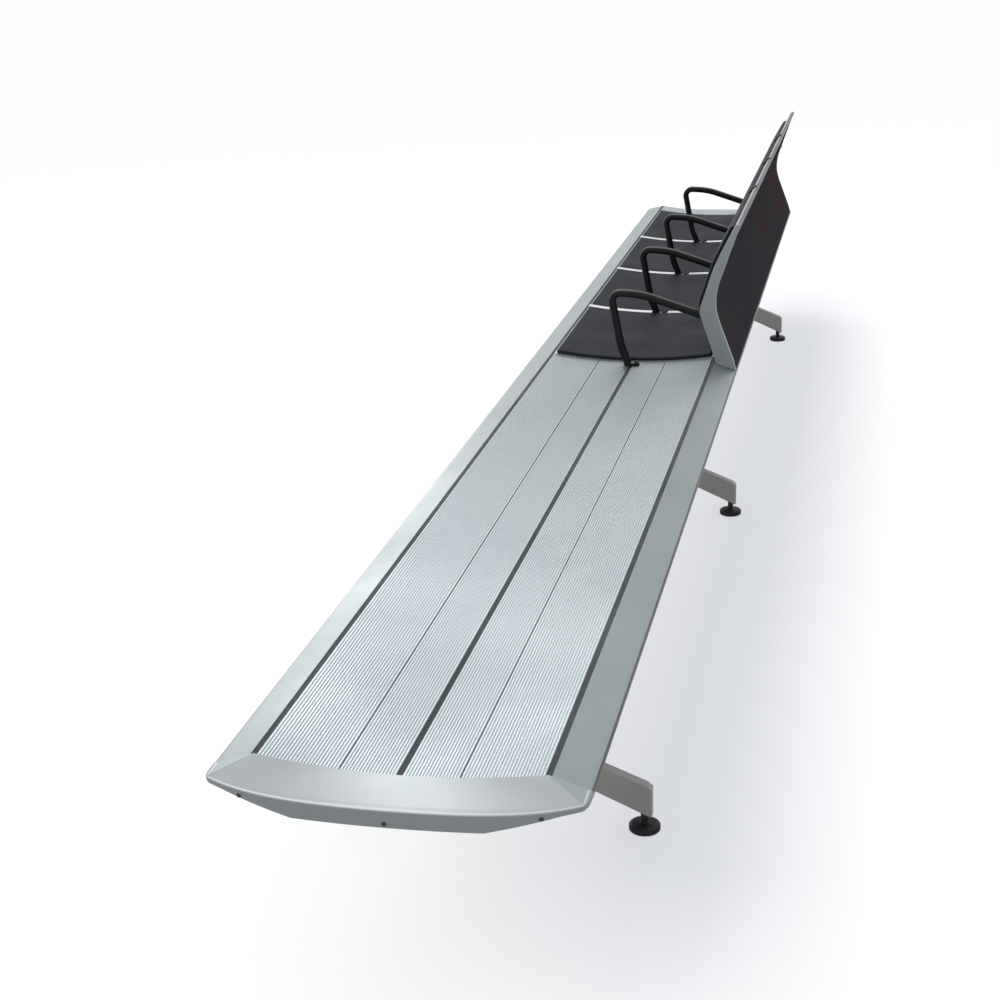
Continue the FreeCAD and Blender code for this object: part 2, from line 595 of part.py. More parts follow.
def side_cap_screws():
    out = []
    for x, d in ((BACK_X1, -1), (BACK_X0, 1)):
        for y, z in SIDE_SCREW_YZ:
            out.append(Part.makeCylinder(SIDE_SCREW_R, SIDE_SCREW_LONG, V(x + d * SIDE_SCREW_SUNK, y, z), V(d, 0, 0)))
    return out


def main():
    save("main_beam", main_beam())
    e = INNER_EDGE_Y
    j0, j1 = PLANK_JOINT_Y - PLANK_JOINT_GAP / 2, PLANK_JOINT_Y + PLANK_JOINT_GAP / 2
    inner, outer = plank(CHANNEL_HALF, j0), plank(j1, e)
    save("deck_plank_rear_inner", inner)
    save("deck_plank_rear_outer", outer)
    save("deck_plank_front_inner", mirror_y(inner))
    save("deck_plank_front_outer", mirror_y(outer))
    save("front_channel", channel_strip(-CHANNEL_Y, -HALF_LENGTH, HALF_LENGTH))
    save("rear_channel", channel_strip(CHANNEL_Y, -HALF_LENGTH, HALF_LENGTH))
    save("centre_channel", channel_strip(0.0, SEAT_START, HALF_LENGTH))
    rail = side_rail()
    save("rear_rail", rail)
    save("front_rail", mirror_y(rail))

    one_arm = armrest(0.0)
    arms = []
    for x in ARM_X:
        arm = one_arm.copy()
        arm.translate(V(x, 0, 0))
        arms.append(arm)
    arm_pocket = Part.makeCompound(arms)
    for k, arm in enumerate(arms, 1):
        save("armrest_%d" % k, arm)
    save("armrest_screws", Part.makeCompound([arm_screw(x) for x in ARM_X]))

    for k, x in enumerate(DECK_BEARER_X + SEAT_BEARER_X, 1):
        save("cross_bearer_%d" % k, bearer(x))
    for k, x in enumerate(UPRIGHT_X, 1):
        save("back_upright_%d" % k, back_upright(x, arm_pocket))
    save("bearer_bolts", Part.makeCompound([bearer_bolt(x, y) for x, y in bearer_bolt_places()]))

    edges = [SEAT_START] + BOUNDARY_X + [SEAT_END]
    gap = PAD_GAP / 2
    for k in range(4):
        x0, x1 = edges[k], edges[k + 1]
        near = x0 if k == 0 else x0 - gap
        far = x1 if k == 3 else x1 + gap
        save("seat_pan_%d" % (k + 1), seat_pan(x0, x1))
        save("seat_pad_%d" % (k + 1), seat_pad(near, far))
        save("back_pad_%d" % (k + 1),
             back_strip(BACK_PAD_Z0, BACK_PAD_Z1, -BACK_PAD_THICK, 0.0, far, near))
    save("end_pan", seat_pan(SEAT_END, -HALF_LENGTH))

    save("back_front_shell", front_shell(arm_pocket))
    save("back_rear_panel", rear_panel())
    save("back_top_rail", prism_x(top_outline(), BACK_X0 + SIDE_CAP_THICK, BACK_X1 - SIDE_CAP_THICK))
    strips = [back_strip(BACK_PAD_Z0, BACK_PAD_Z1, -4.0, 0.0, x - gap, x + gap).cut(arm_pocket) for x in BOUNDARY_X]
    save("back_gap_strips", Part.makeCompound(strips))
    screws = Part.makeCompound(side_cap_screws())
    save("side_cap_near", side_cap(BACK_X1 - SIDE_CAP_THICK).cut(screws))
    save("side_cap_far", side_cap(BACK_X0).cut(screws))
    save("side_cap_screws", screws)

    cap = end_cap()
    save("end_cap_near", cap)
    save("end_cap_far", cap.mirror(V(0, 0, 0), V(1, 0, 0)))
    save("end_cap_screws", Part.makeCompound(cap_screws(1) + cap_screws(-1)))

    for k, x in enumerate(LEG_X, 1):
        save("leg_%d" % k, leg(x))
        for side, sy in (("front", -1), ("rear", 1)):
            save("foot_%s_%d" % (side, k), levelling_foot(x, sy * FOOT_Y))
    save("leg_bolts", Part.makeCompound([leg_bolt(x, y) for x, y in leg_bolt_places()]))


main()
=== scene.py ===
"""Looks of a beam seating: a ribbed aluminium deck, four upholstered places with a back, and three cast legs.

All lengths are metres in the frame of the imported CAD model. X runs along the bench with the deck at +X,
sitters face -Y, +Z is up, and the origin is on the floor under the middle of the bench.
"""
from __future__ import annotations

import json
import logging
import math
import sys
from dataclasses import dataclass, field
from enum import Enum
from typing import Any, Sequence

import bmesh
import bpy
import numpy as np
from mathutils import Matrix, Vector

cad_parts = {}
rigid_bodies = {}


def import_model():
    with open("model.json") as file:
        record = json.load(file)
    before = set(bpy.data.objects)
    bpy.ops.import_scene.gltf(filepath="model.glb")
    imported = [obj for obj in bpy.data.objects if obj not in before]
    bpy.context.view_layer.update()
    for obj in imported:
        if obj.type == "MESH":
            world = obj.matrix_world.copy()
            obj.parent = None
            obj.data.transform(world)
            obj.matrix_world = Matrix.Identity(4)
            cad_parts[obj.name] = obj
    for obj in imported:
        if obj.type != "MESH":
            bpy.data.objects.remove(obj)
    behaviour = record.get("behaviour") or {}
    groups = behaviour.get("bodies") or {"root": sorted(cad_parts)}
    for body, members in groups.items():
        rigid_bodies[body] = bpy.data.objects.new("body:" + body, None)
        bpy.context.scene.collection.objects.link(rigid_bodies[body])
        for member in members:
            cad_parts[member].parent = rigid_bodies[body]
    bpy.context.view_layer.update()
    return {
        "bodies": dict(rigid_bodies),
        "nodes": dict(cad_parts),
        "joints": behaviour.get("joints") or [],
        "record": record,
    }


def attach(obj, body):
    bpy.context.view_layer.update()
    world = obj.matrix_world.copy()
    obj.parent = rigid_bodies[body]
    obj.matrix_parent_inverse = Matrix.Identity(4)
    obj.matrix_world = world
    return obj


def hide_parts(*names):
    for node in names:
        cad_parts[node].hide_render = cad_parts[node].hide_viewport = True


LOG = logging.getLogger("beam_seating")
MM = 0.001
PATTERN_SHARE = 0.45
RELIEF_STRENGTH = 0.6
BOUNDARY_X = (-0.592, -1.192, -1.792)
LEG_X = (1.891, 0.065, -2.029)

Colour = tuple[float, float, float]
Point2 = tuple[float, float]


class Slot(str, Enum):
    """Material slots of the part's record; the pieces made here are not given them."""

    DECK = "deck_aluminium"
    RAIL = "rail_aluminium"
    PAD = "pad_leatherette"
    PANEL = "back_panel"
    ARM = "arm_black"
    LEG = "leg_aluminium"
    FOOT = "foot_black"


class Facing(Enum):
    """Which of the two pad forms a pad has."""

    SEAT = "seat"
    BACK = "back"


FRAME_BODY = "frame"


class Graph:
    """Adds nodes to a tree and links them in one call."""

    def __init__(self, tree: bpy.types.NodeTree) -> None:
        """Keeps the tree that is filled."""
        self.tree = tree

    def add(self, kind: str, values: dict[Any, Any] | None = None, **settings: Any) -> bpy.types.Node:
        """Adds a node.

        Args:
            kind: Blender's type name of the node.
            values: Socket name or index to a constant or to the output socket that feeds it.
            settings: Properties of the node.

        Returns:
            The new node.
        """
        node = self.tree.nodes.new(kind)
        for key, value in settings.items():
            setattr(node, key, value)
        for key, value in (values or {}).items():
            socket = node.inputs[key]
            if isinstance(value, bpy.types.NodeSocket):
                self.tree.links.new(value, socket)
            else:
                socket.default_value = value
        return node

    def maths(self, operation: str, a: Any, b: Any = 0.0, c: Any = 0.0) -> bpy.types.NodeSocket:
        """Adds a Math node and returns its output."""
        return self.add("ShaderNodeMath", {0: a, 1: b, 2: c}, operation=operation).outputs[0]

    def blend(self, factor: Any, a: Any, b: Any) -> bpy.types.NodeSocket:
        """Mixes two colours and returns the result."""
        return self.add("ShaderNodeMix", {0: factor, 6: a, 7: b}, data_type="RGBA").outputs[2]

    def remap(self, value: Any, low: float, high: float, to_low: float, to_high: float) -> bpy.types.NodeSocket:
        """Maps a value from one range to another and returns it."""
        given = dict(enumerate((value, low, high, to_low, to_high)))
        return self.add("ShaderNodeMapRange", given).outputs[0]

    def join(self, *parts: Any) -> bpy.types.NodeSocket:
        """Joins geometries and returns the result; the first one is linked first."""
        node = self.add("GeometryNodeJoinGeometry")
        for part in parts:
            self.tree.links.new(part, node.inputs[0])
        return node.outputs[0]

    def vector(self, x: Any = 0.0, y: Any = 0.0, z: Any = 0.0) -> bpy.types.NodeSocket:
        """Puts three numbers together into a vector and returns it."""
        return self.add("ShaderNodeCombineXYZ", {0: x, 1: y, 2: z}).outputs[0]

    def split(self, vector: Any) -> Any:
        """Takes a vector apart and returns its three numbers."""
        return self.add("ShaderNodeSeparateXYZ", {0: vector}).outputs


def open_socket(tree: bpy.types.NodeTree, name: str, kind: str, output: bool = False,
                value: Any = None) -> None:
    """Adds one named input or output to a node group.

    Args:
        tree: The node group.
        name: Name of the socket.
        kind: Blender's type name of the socket.
        output: True for an output.
        value: Default of an input.
    """
    socket = tree.interface.new_socket(name, in_out="OUTPUT" if output else "INPUT", socket_type=kind)
    if value is not None:
        socket.default_value = value


def fresh_graph(block: Any) -> Graph:
    """Empties the nodes of a material or a world and returns its graph."""
    block.use_nodes = True
    block.node_tree.nodes.clear()
    return Graph(block.node_tree)


def rgba(colour: Colour) -> tuple[float, float, float, float]:
    """Adds full opacity to a colour."""
    return (*colour, 1.0)


class SurfaceEffects:
    """Shader groups that more than one finish places in its material."""

    def __init__(self) -> None:
        """Builds the three groups once."""
        self.clouds = self._clouds()
        self.drawn_lines = self._drawn_lines()
        self.fine_grain = self._fine_grain()

    @staticmethod
    def _start(name: str, inputs: Sequence[tuple[str, float]], outputs: Sequence[str]
               ) -> tuple[Graph, Any, Any]:
        """Makes an empty group with a Vector input, float inputs and float outputs."""
        tree = bpy.data.node_groups.new(name, "ShaderNodeTree")
        open_socket(tree, "Vector", "NodeSocketVector")
        for label, value in inputs:
            open_socket(tree, label, "NodeSocketFloat", value=value)
        for label in outputs:
            open_socket(tree, label, "NodeSocketFloat", output=True)
        graph = Graph(tree)
        return graph, graph.add("NodeGroupInput"), graph.add("NodeGroupOutput")

    def _clouds(self) -> bpy.types.NodeTree:
        """Slow tonal drift over a surface, from 0 to 1."""
        graph, given, out = self._start("clouds", [("Scale", 3.0), ("Contrast", 1.0)], ["Tone"])
        noise = graph.add("ShaderNodeTexNoise", {"Vector": given.outputs["Vector"],
                                                 "Scale": given.outputs["Scale"],
                                                 "Detail": 3.0, "Roughness": 0.55})
        centred = graph.maths("SUBTRACT", noise.outputs[0], 0.5)
        spread = graph.maths("MULTIPLY_ADD", centred, given.outputs["Contrast"], 0.5)
        clamped = graph.add("ShaderNodeClamp", {"Value": spread}).outputs[0]
        graph.tree.links.new(clamped, out.inputs["Tone"])
        return graph.tree

    def _drawn_lines(self) -> bpy.types.NodeTree:
        """Fine lines along X, as extrusion and brushing leave them."""
        graph, given, out = self._start("drawn_lines", [("Lines", 900.0), ("Length", 0.02)], ["Tone", "Height"])
        x, y, z = graph.split(given.outputs["Vector"])
        squeezed = graph.vector(graph.maths("MULTIPLY", x, given.outputs["Length"]), y, z)
        noise = graph.add("ShaderNodeTexNoise", {"Vector": squeezed, "Scale": given.outputs["Lines"],
                                                 "Detail": 2.0, "Roughness": 0.6})
        graph.tree.links.new(noise.outputs[0], out.inputs["Tone"])
        graph.tree.links.new(graph.maths("POWER", noise.outputs[0], 2.0), out.inputs["Height"])
        return graph.tree

    def _fine_grain(self) -> bpy.types.NodeTree:
        """Pebbled grain of leatherette, cast skin and moulded plastic."""
        graph, given, out = self._start("fine_grain", [("Scale", 700.0), ("Pebble", 0.6)], ["Height", "Pits"])
        noise = graph.add("ShaderNodeTexNoise", {"Vector": given.outputs["Vector"],
                                                 "Scale": given.outputs["Scale"],
                                                 "Detail": 2.0, "Roughness": 0.5})
        cells = graph.add("ShaderNodeTexVoronoi", {"Vector": given.outputs["Vector"],
                                                   "Scale": given.outputs["Scale"]})
        raised = graph.maths("MULTIPLY", cells.outputs["Distance"], given.outputs["Pebble"])
        height = graph.maths("ADD", noise.outputs[0], raised)
        graph.tree.links.new(height, out.inputs["Height"])
        pits = graph.remap(cells.outputs["Distance"], 0.0, 0.9, 1.0, 0.0)
        graph.tree.links.new(pits, out.inputs["Pits"])
        return graph.tree


@dataclass(frozen=True)
class Finish:
    """One finish: a colour that drifts between two tones, and a roughness and relief with it."""

    name: str
    light: Colour
    dark: Colour
    metallic: float
    rough_low: float
    rough_high: float
    cloud_scale: float = 3.0
    cloud_contrast: float = 1.6
    specular: float = 0.5
    relief: float = 0.0002

    def pattern(self, graph: Graph, effects: SurfaceEffects, where: Any) -> tuple[Any, Any]:
        """Gives the finish's own tone and height.

        Args:
            graph: The material's nodes.
            effects: The shared shader groups.
            where: Object coordinates.

        Returns:
            The tone from 0 to 1, and the height for the relief.
        """
        raise NotImplementedError

    def recolour(self, graph: Graph, where: Any, colour: Any) -> Any:
        """Lets a finish tint its colour further; the plain finish leaves it."""
        return colour

    def material(self, effects: SurfaceEffects) -> bpy.types.Material:
        """Builds the material.

        Args:
            effects: The shared shader groups.

        Returns:
            The finished material.
        """
        made = bpy.data.materials.new(self.name)
        made.diffuse_color = rgba(self.light)
        graph = fresh_graph(made)
        where = graph.add("ShaderNodeTexCoord").outputs["Object"]
        clouds = graph.add("ShaderNodeGroup", {"Vector": where, "Scale": self.cloud_scale,
                                               "Contrast": self.cloud_contrast}, node_tree=effects.clouds)
        tone, height = self.pattern(graph, effects, where)
        mixed = graph.maths("MULTIPLY_ADD", tone, PATTERN_SHARE,
                            graph.maths("MULTIPLY", clouds.outputs[0], 1.0 - PATTERN_SHARE))
        colour = self.recolour(graph, where, graph.blend(mixed, rgba(self.light), rgba(self.dark)))
        rough = graph.remap(mixed, 0.2, 0.8, self.rough_low, self.rough_high)
        bump = graph.add("ShaderNodeBump", {"Height": height, "Distance": self.relief,
                                            "Strength": RELIEF_STRENGTH})
        shader = graph.add("ShaderNodeBsdfPrincipled", {
            "Base Color": colour, "Roughness": rough, "Metallic": self.metallic, "Normal": bump.outputs[0],
            "Specular IOR Level": self.specular})
        graph.add("ShaderNodeOutputMaterial", {"Surface": shader.outputs[0]})
        return made


@dataclass(frozen=True)
class DrawnMetal(Finish):
    """Extruded and anodised aluminium with fine lines along the bench."""

    lines: float = 900.0
    line_length: float = 0.02

    def pattern(self, graph: Graph, effects: SurfaceEffects, where: Any) -> tuple[Any, Any]:
        """Takes tone and height from the drawn lines."""
        drawn = graph.add("ShaderNodeGroup", {"Vector": where, "Lines": self.lines, "Length": self.line_length},
                          node_tree=effects.drawn_lines)
        return drawn.outputs["Tone"], drawn.outputs["Height"]


@dataclass(frozen=True)
class Grained(Finish):
    """Leatherette, cast skin or moulded plastic, by the size of its grain."""

    grain: float = 700.0
    pebble: float = 0.6

    def pattern(self, graph: Graph, effects: SurfaceEffects, where: Any) -> tuple[Any, Any]:
        """Takes tone and height from the fine grain."""
        node = graph.add("ShaderNodeGroup", {"Vector": where, "Scale": self.grain, "Pebble": self.pebble},
                         node_tree=effects.fine_grain)
        return node.outputs["Pits"], node.outputs["Height"]


@dataclass(frozen=True)
class NoseShadedMetal(DrawnMetal):
    """Drawn rail metal with painted shade: a thin dark band round its outer nose."""

    nose: Point2 = (0.2943, 0.2958)
    # colour of the painted shade on the outer nose
    nose_shade: Colour = (0.07, 0.075, 0.08)

    def recolour(self, graph: Graph, where: Any, colour: Any) -> Any:
        """Mixes in the painted nose shade far out from the middle of the bench."""
        aside = graph.maths("ABSOLUTE", graph.split(where)[1])
        share = graph.remap(aside, *self.nose, 0.0, 1.0)
        return graph.blend(share, colour, rgba(self.nose_shade))


@dataclass(frozen=True)
class LippedCast(Grained):
    """Cast metal of the end caps, with painted shade on the face below the lip and a painted highlight line
    along the lip.

    Outside the mitre it takes the tone of the side rail that runs into it.
    """

    # colour of the painted shade on the face below the lip
    below: Colour = (0.21, 0.225, 0.23)
    # colour of the painted highlight line along the lip
    lip_highlight: Colour = (0.75, 0.77, 0.78)
    rail: Colour = (0.325, 0.37, 0.38)
    mitre_start: Point2 = (2.534, 0.231)
    mitre_slope: float = 1.25
    mitre_blur: float = 0.004
    lip_y: float = 0.291
    lip_z: float = 0.416
    lip_rise: float = 0.0085
    # height bands round the lip: the lower one takes the painted shade, the narrow one the painted highlight
    face: Point2 = (-0.0035, -0.001)
    line: Point2 = (0.0003, 0.0009)
    highlight_share: float = 0.6

    def recolour(self, graph: Graph, where: Any, colour: Any) -> Any:
        """Measures the height over the lip and mixes in the rail's tone, the painted shade on the face and the
        painted highlight line.
        """
        x, y, z = graph.split(where)
        aside = graph.maths("ABSOLUTE", y)
        along = graph.maths("SUBTRACT", graph.maths("ABSOLUTE", x), self.mitre_start[0])
        past = graph.maths("SUBTRACT", graph.maths("SUBTRACT", aside, self.mitre_start[1]),
                           graph.maths("MULTIPLY", along, self.mitre_slope))
        outside = graph.remap(past, -self.mitre_blur, self.mitre_blur, 0.0, 1.0)
        colour = graph.blend(outside, colour, rgba(self.rail))
        span = graph.maths("DIVIDE", aside, self.lip_y)
        lip = graph.maths("MULTIPLY_ADD", graph.maths("POWER", span, 3.0), self.lip_rise, self.lip_z)
        over = graph.maths("SUBTRACT", z, lip)
        # painted shade on the face below the lip
        dark = graph.blend(graph.remap(over, *self.face, 1.0, 0.0), colour, rgba(self.below))
        # painted highlight along the lip
        line = graph.remap(graph.maths("ABSOLUTE", over), *self.line, self.highlight_share, 0.0)
        return graph.blend(line, dark, rgba(self.lip_highlight))


@dataclass(frozen=True)
class WarmPanel(Grained):
    """Dark painted panel with a faint warm drift over it."""

    warm: Colour = (0.085, 0.045, 0.04)
    warm_scale: float = 1.7
    warm_band: Point2 = (0.5, 0.7)
    warm_share: float = 0.6

    def recolour(self, graph: Graph, where: Any, colour: Any) -> Any:
        """Mixes in the warm tone where a slow noise is high."""
        noise = graph.add("ShaderNodeTexNoise", {"Vector": where, "Scale": self.warm_scale, "Detail": 1.0})
        share = graph.remap(noise.outputs[0], *self.warm_band, 0.0, self.warm_share)
        return graph.blend(share, colour, rgba(self.warm))


@dataclass
class Finishes:
    """All finishes of the bench, built once."""

    effects: SurfaceEffects = field(default_factory=SurfaceEffects)
    made: dict[str, bpy.types.Material] = field(default_factory=dict)

    DECK = DrawnMetal("ribbed_anodised_aluminium", (0.395, 0.45, 0.47), (0.29, 0.33, 0.35), 0.85, 0.26, 0.42,
                      lines=1100.0, relief=0.00008)
    # rail metal with painted shade on its outer nose; used for both side rails and the top rail
    RAIL = NoseShadedMetal("satin_rail_aluminium", (0.315, 0.36, 0.37), (0.255, 0.295, 0.305), 0.85,
                        0.33, 0.45, lines=700.0, relief=0.00005)
    # near-white copy of the deck aluminium: a painted highlight for the seat pans and the gap strips
    STRIP = DrawnMetal("bright_pan_aluminium", (0.74, 0.76, 0.77), (0.64, 0.66, 0.67), 0.8, 0.25, 0.35,
                       relief=0.00005)
    # cap metal with painted shade below the lip and a painted highlight along it
    CAST = LippedCast("cast_satin_aluminium", (0.46, 0.49, 0.50), (0.38, 0.41, 0.42), 0.8, 0.34, 0.46,
                      grain=900.0, relief=0.00004)
    SIDE = Grained("side_cap_aluminium", (0.30, 0.32, 0.325), (0.235, 0.255, 0.26), 0.7, 0.38, 0.5,
                   grain=900.0, relief=0.00004)
    LEG = Grained("leg_cast_aluminium", (0.29, 0.285, 0.27), (0.20, 0.195, 0.185), 0.8, 0.32, 0.48,
                  cloud_scale=9.0, grain=800.0, relief=0.00006)
    CHANNEL = Grained("dark_channel_insert", (0.055, 0.064, 0.075), (0.035, 0.042, 0.05), 0.0, 0.55, 0.75,
                      specular=0.25, grain=1500.0, relief=0.0001)
    PAD = Grained("charcoal_leatherette", (0.023, 0.026, 0.035), (0.017, 0.019, 0.026), 0.0, 0.5, 0.66,
                  cloud_scale=5.0, specular=0.05, grain=620.0, pebble=0.8, relief=0.00035)
    PANEL = WarmPanel("dark_panel_lacquer", (0.064, 0.061, 0.067), (0.050, 0.047, 0.052), 0.0, 0.5, 0.62,
                      specular=0.0, grain=1600.0, relief=0.00004)
    ARM = Grained("black_satin_lacquer", (0.0065, 0.0065, 0.0075), (0.004, 0.004, 0.005), 0.0, 0.34, 0.5,
                  cloud_scale=14.0, specular=0.22, grain=1400.0, relief=0.00005)
    FOOT = Grained("black_moulded_foot", (0.012, 0.010, 0.014), (0.007, 0.006, 0.009), 0.0, 0.4, 0.58,
                   cloud_scale=20.0, specular=0.3, grain=1300.0, relief=0.0001)
    FRAME = DrawnMetal("mill_aluminium_frame", (0.24, 0.25, 0.26), (0.17, 0.18, 0.19), 0.8, 0.4, 0.56,
                       lines=500.0, relief=0.00006)
    BOLT = Grained("blackened_steel", (0.06, 0.06, 0.065), (0.03, 0.03, 0.034), 0.8, 0.34, 0.5,
                   cloud_scale=60.0, grain=2500.0, relief=0.00003)

    def of(self, finish: Finish) -> bpy.types.Material:
        """Returns the material of a finish, and builds it the first time."""
        if finish.name not in self.made:
            self.made[finish.name] = finish.material(self.effects)
        return self.made[finish.name]


@dataclass(frozen=True)
class BenchSection:
    """Cross-section that the deck, the rails, the seats and the end caps share."""

    half_length: float = 2.534
    channel_y: float = 0.231
    channel_half: float = 0.005
    dish_mid: float = 0.4255
    dish_rise: float = 0.019
    rail_slope: float = 0.333
    rail_edge: float = 0.2985
    belly_z: float = 0.384
    belly_y: float = 0.150
    wing_y: float = 0.262
    wing_z: float = 0.409
    wing_rise: float = 0.004

    @property
    def radius(self) -> float:
        """Radius of the dished top."""
        return (self.channel_y ** 2 + self.dish_rise ** 2) / (2 * self.dish_rise)

    @property
    def centre_z(self) -> float:
        """Height of the middle of the dish's circle."""
        return self.dish_mid + self.radius

    def dish(self, y: float) -> float:
        """Height of the dished top at y."""
        return self.centre_z - math.sqrt(self.radius ** 2 - y * y)

    def rail(self, y: float) -> float:
        """Height of the sloping rail at y."""
        return self.dish_mid + self.dish_rise - self.rail_slope * (abs(y) - self.channel_y)

    def belly(self, y: float) -> float:
        """Height of the lens-shaped underside at y."""
        a = abs(y)
        if a <= self.belly_y:
            return self.belly_z
        if a <= self.wing_y:
            share = (a - self.belly_y) / (self.wing_y - self.belly_y)
            return self.belly_z + (self.wing_z - self.belly_z) * share
        return self.wing_z + self.wing_rise * (a - self.wing_y) / (self.rail_edge - self.wing_y)


SECTION = BenchSection()


def flowing(points: Sequence[Sequence[float]], steps: int) -> list[tuple[float, ...]]:
    """Runs a smooth line through points.

    Args:
        points: Points of any dimension.
        steps: Pieces between two neighbours.

    Returns:
        The points of a centripetal Catmull-Rom line, with both ends.
    """
    p = np.array(points, float)
    p = np.vstack([2 * p[0] - p[1], p, 2 * p[-1] - p[-2]])
    out: list[tuple[float, ...]] = []
    for k in range(1, len(p) - 2):
        t = [0.0]
        for a, b in zip(p[k - 1:k + 2], p[k:k + 3]):
            t.append(t[-1] + max(1e-9, float(np.linalg.norm(b - a)) ** 0.5))
        for s in np.linspace(t[1], t[2], steps, endpoint=False):
            a1 = (t[1] - s) / (t[1] - t[0]) * p[k - 1] + (s - t[0]) / (t[1] - t[0]) * p[k]
            a2 = (t[2] - s) / (t[2] - t[1]) * p[k] + (s - t[1]) / (t[2] - t[1]) * p[k + 1]
            a3 = (t[3] - s) / (t[3] - t[2]) * p[k + 1] + (s - t[2]) / (t[3] - t[2]) * p[k + 2]
            b1 = (t[2] - s) / (t[2] - t[0]) * a1 + (s - t[0]) / (t[2] - t[0]) * a2
            b2 = (t[3] - s) / (t[3] - t[1]) * a2 + (s - t[1]) / (t[3] - t[1]) * a3
            out.append(tuple((t[2] - s) / (t[2] - t[1]) * b1 + (s - t[1]) / (t[2] - t[1]) * b2))
    out.append(tuple(p[-2]))
    return out


def linked(obj: bpy.types.Object) -> bpy.types.Object:
    """Puts an object into the scene and returns it."""
    bpy.context.scene.collection.objects.link(obj)
    return obj


def new_piece(name: str, verts: Sequence[Sequence[float]], faces: Sequence[Sequence[int]],
              material: bpy.types.Material | None, smooth: float | None = 30.0) -> bpy.types.Object:
    """Makes an object from points and faces.

    Args:
        name: Name of the object.
        verts: Points in metres.
        faces: Corners of each face.
        material: Its material.
        smooth: Edges flatter than this angle in degrees are shaded smooth; None leaves all flat.

    Returns:
        The object, at the origin.
    """
    mesh = bpy.data.meshes.new(name)
    mesh.from_pydata([tuple(map(float, v)) for v in verts], [], [tuple(f) for f in faces])
    mesh.validate()
    if material is not None:
        mesh.materials.append(material)
    obj = linked(bpy.data.objects.new(name, mesh))
    if smooth is not None:
        shade(mesh, smooth)
    return obj


def shade(mesh: bpy.types.Mesh, angle: float) -> None:
    """Shades a mesh smooth where its faces meet below an angle in degrees."""
    mesh.polygons.foreach_set("use_smooth", [True] * len(mesh.polygons))
    mesh.set_sharp_from_angle(angle=math.radians(angle))
    mesh.update()


def baked(obj: bpy.types.Object, smooth: float | None = None) -> bpy.types.Object:
    """Applies an object's modifiers.

    Args:
        obj: The object.
        smooth: Angle for shading the result, or None to leave it.

    Returns:
        The same object with a plain mesh and no modifiers.
    """
    graph = bpy.context.evaluated_depsgraph_get()
    mesh = bpy.data.meshes.new_from_object(obj.evaluated_get(graph))
    old = obj.data
    obj.modifiers.clear()
    obj.data = mesh
    if old.users == 0:
        bpy.data.meshes.remove(old)
    mesh.name = obj.name
    if smooth is not None:
        shade(mesh, smooth)
    return obj


def tidy_normals(obj: bpy.types.Object, merge: float = 1e-6, fill: bool = False) -> bpy.types.Object:
    """Merges doubles, fills holes if asked, and turns all faces outwards."""
    bm = bmesh.new()
    bm.from_mesh(obj.data)
    if merge:
        bmesh.ops.remove_doubles(bm, verts=bm.verts, dist=merge)
    if fill:
        bmesh.ops.holes_fill(bm, edges=[e for e in bm.edges if e.is_boundary], sides=0)
    bmesh.ops.recalc_face_normals(bm, faces=bm.faces)
    bm.to_mesh(obj.data)
    bm.free()
    return obj


def rounded_edges(obj: bpy.types.Object, width: float, segments: int = 3,
                  angle: float = 32.0) -> bpy.types.Object:
    """Rounds every edge sharper than an angle.

    Args:
        obj: The object.
        width: Width of the rounding in metres.
        segments: Its steps.
        angle: The angle in degrees.

    Returns:
        The object, with the rounding applied.
    """
    bevel = obj.modifiers.new("rounded_edges", "BEVEL")
    bevel.width, bevel.segments = width, segments
    bevel.limit_method, bevel.angle_limit = "ANGLE", math.radians(angle)
    bevel.use_clamp_overlap = True
    weighted = obj.modifiers.new("even_shading", "WEIGHTED_NORMAL")
    weighted.keep_sharp = True
    obj.data.polygons.foreach_set("use_smooth", [True] * len(obj.data.polygons))
    return baked(obj)


def solid_ring(rows: int, n: int) -> list[list[int]]:
    """Faces between rows of n points each, closed round and capped at both ends."""
    faces = [[q * n + k, q * n + (k + 1) % n, (q + 1) * n + (k + 1) % n, (q + 1) * n + k]
             for q in range(rows - 1) for k in range(n)]
    return faces + [list(range(n))[::-1], [(rows - 1) * n + k for k in range(n)]]


def extruded(name: str, outline: Sequence[Point2], x0: float, x1: float, material: bpy.types.Material,
             smooth: float | None = 30.0) -> bpy.types.Object:
    """Runs a closed (y, z) outline from x0 to x1.

    Args:
        name: Name of the object.
        outline: Corners of the outline.
        x0: Lower end.
        x1: Upper end.
        material: Its material.
        smooth: Shading angle in degrees.

    Returns:
        The closed object.
    """
    verts = [(x, y, z) for x in (x0, x1) for y, z in outline]
    return tidy_normals(new_piece(name, verts, solid_ring(2, len(outline)), material, smooth))


def joined(name: str, pieces: Sequence[bpy.types.Object]) -> bpy.types.Object:
    """Joins objects with one material into the first one.

    Args:
        name: Name of the result.
        pieces: The objects.

    Returns:
        The first object, which now holds all meshes.
    """
    bm = bmesh.new()
    for piece in pieces:
        bm.from_mesh(piece.data)
    bm.to_mesh(pieces[0].data)
    bm.free()
    for piece in pieces[1:]:
        mesh = piece.data
        bpy.data.objects.remove(piece)
        bpy.data.meshes.remove(mesh)
    pieces[0].name = name
    pieces[0].data.name = name
    return pieces[0]


def mirrored_x(obj: bpy.types.Object, name: str) -> bpy.types.Object:
    """Copies an object to the other end of the bench, with its faces outwards."""
    copy = linked(bpy.data.objects.new(name, obj.data.copy()))
    copy.data.transform(Matrix.Scale(-1.0, 4, (1.0, 0.0, 0.0)))
    copy.data.flip_normals()
    return copy


def settle(obj: bpy.types.Object, body: str, nodes: Sequence[str] = ()) -> bpy.types.Object:
    """Args:
        obj: The piece.
        body: The CAD body that it moves with.
        nodes: CAD nodes that it stands for.

    Returns:
        The piece.
    """
    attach(obj, body)
    if nodes:
        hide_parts(*nodes)
    LOG.info("%s: %d faces on %s", obj.name, len(obj.data.polygons), body)
    return obj


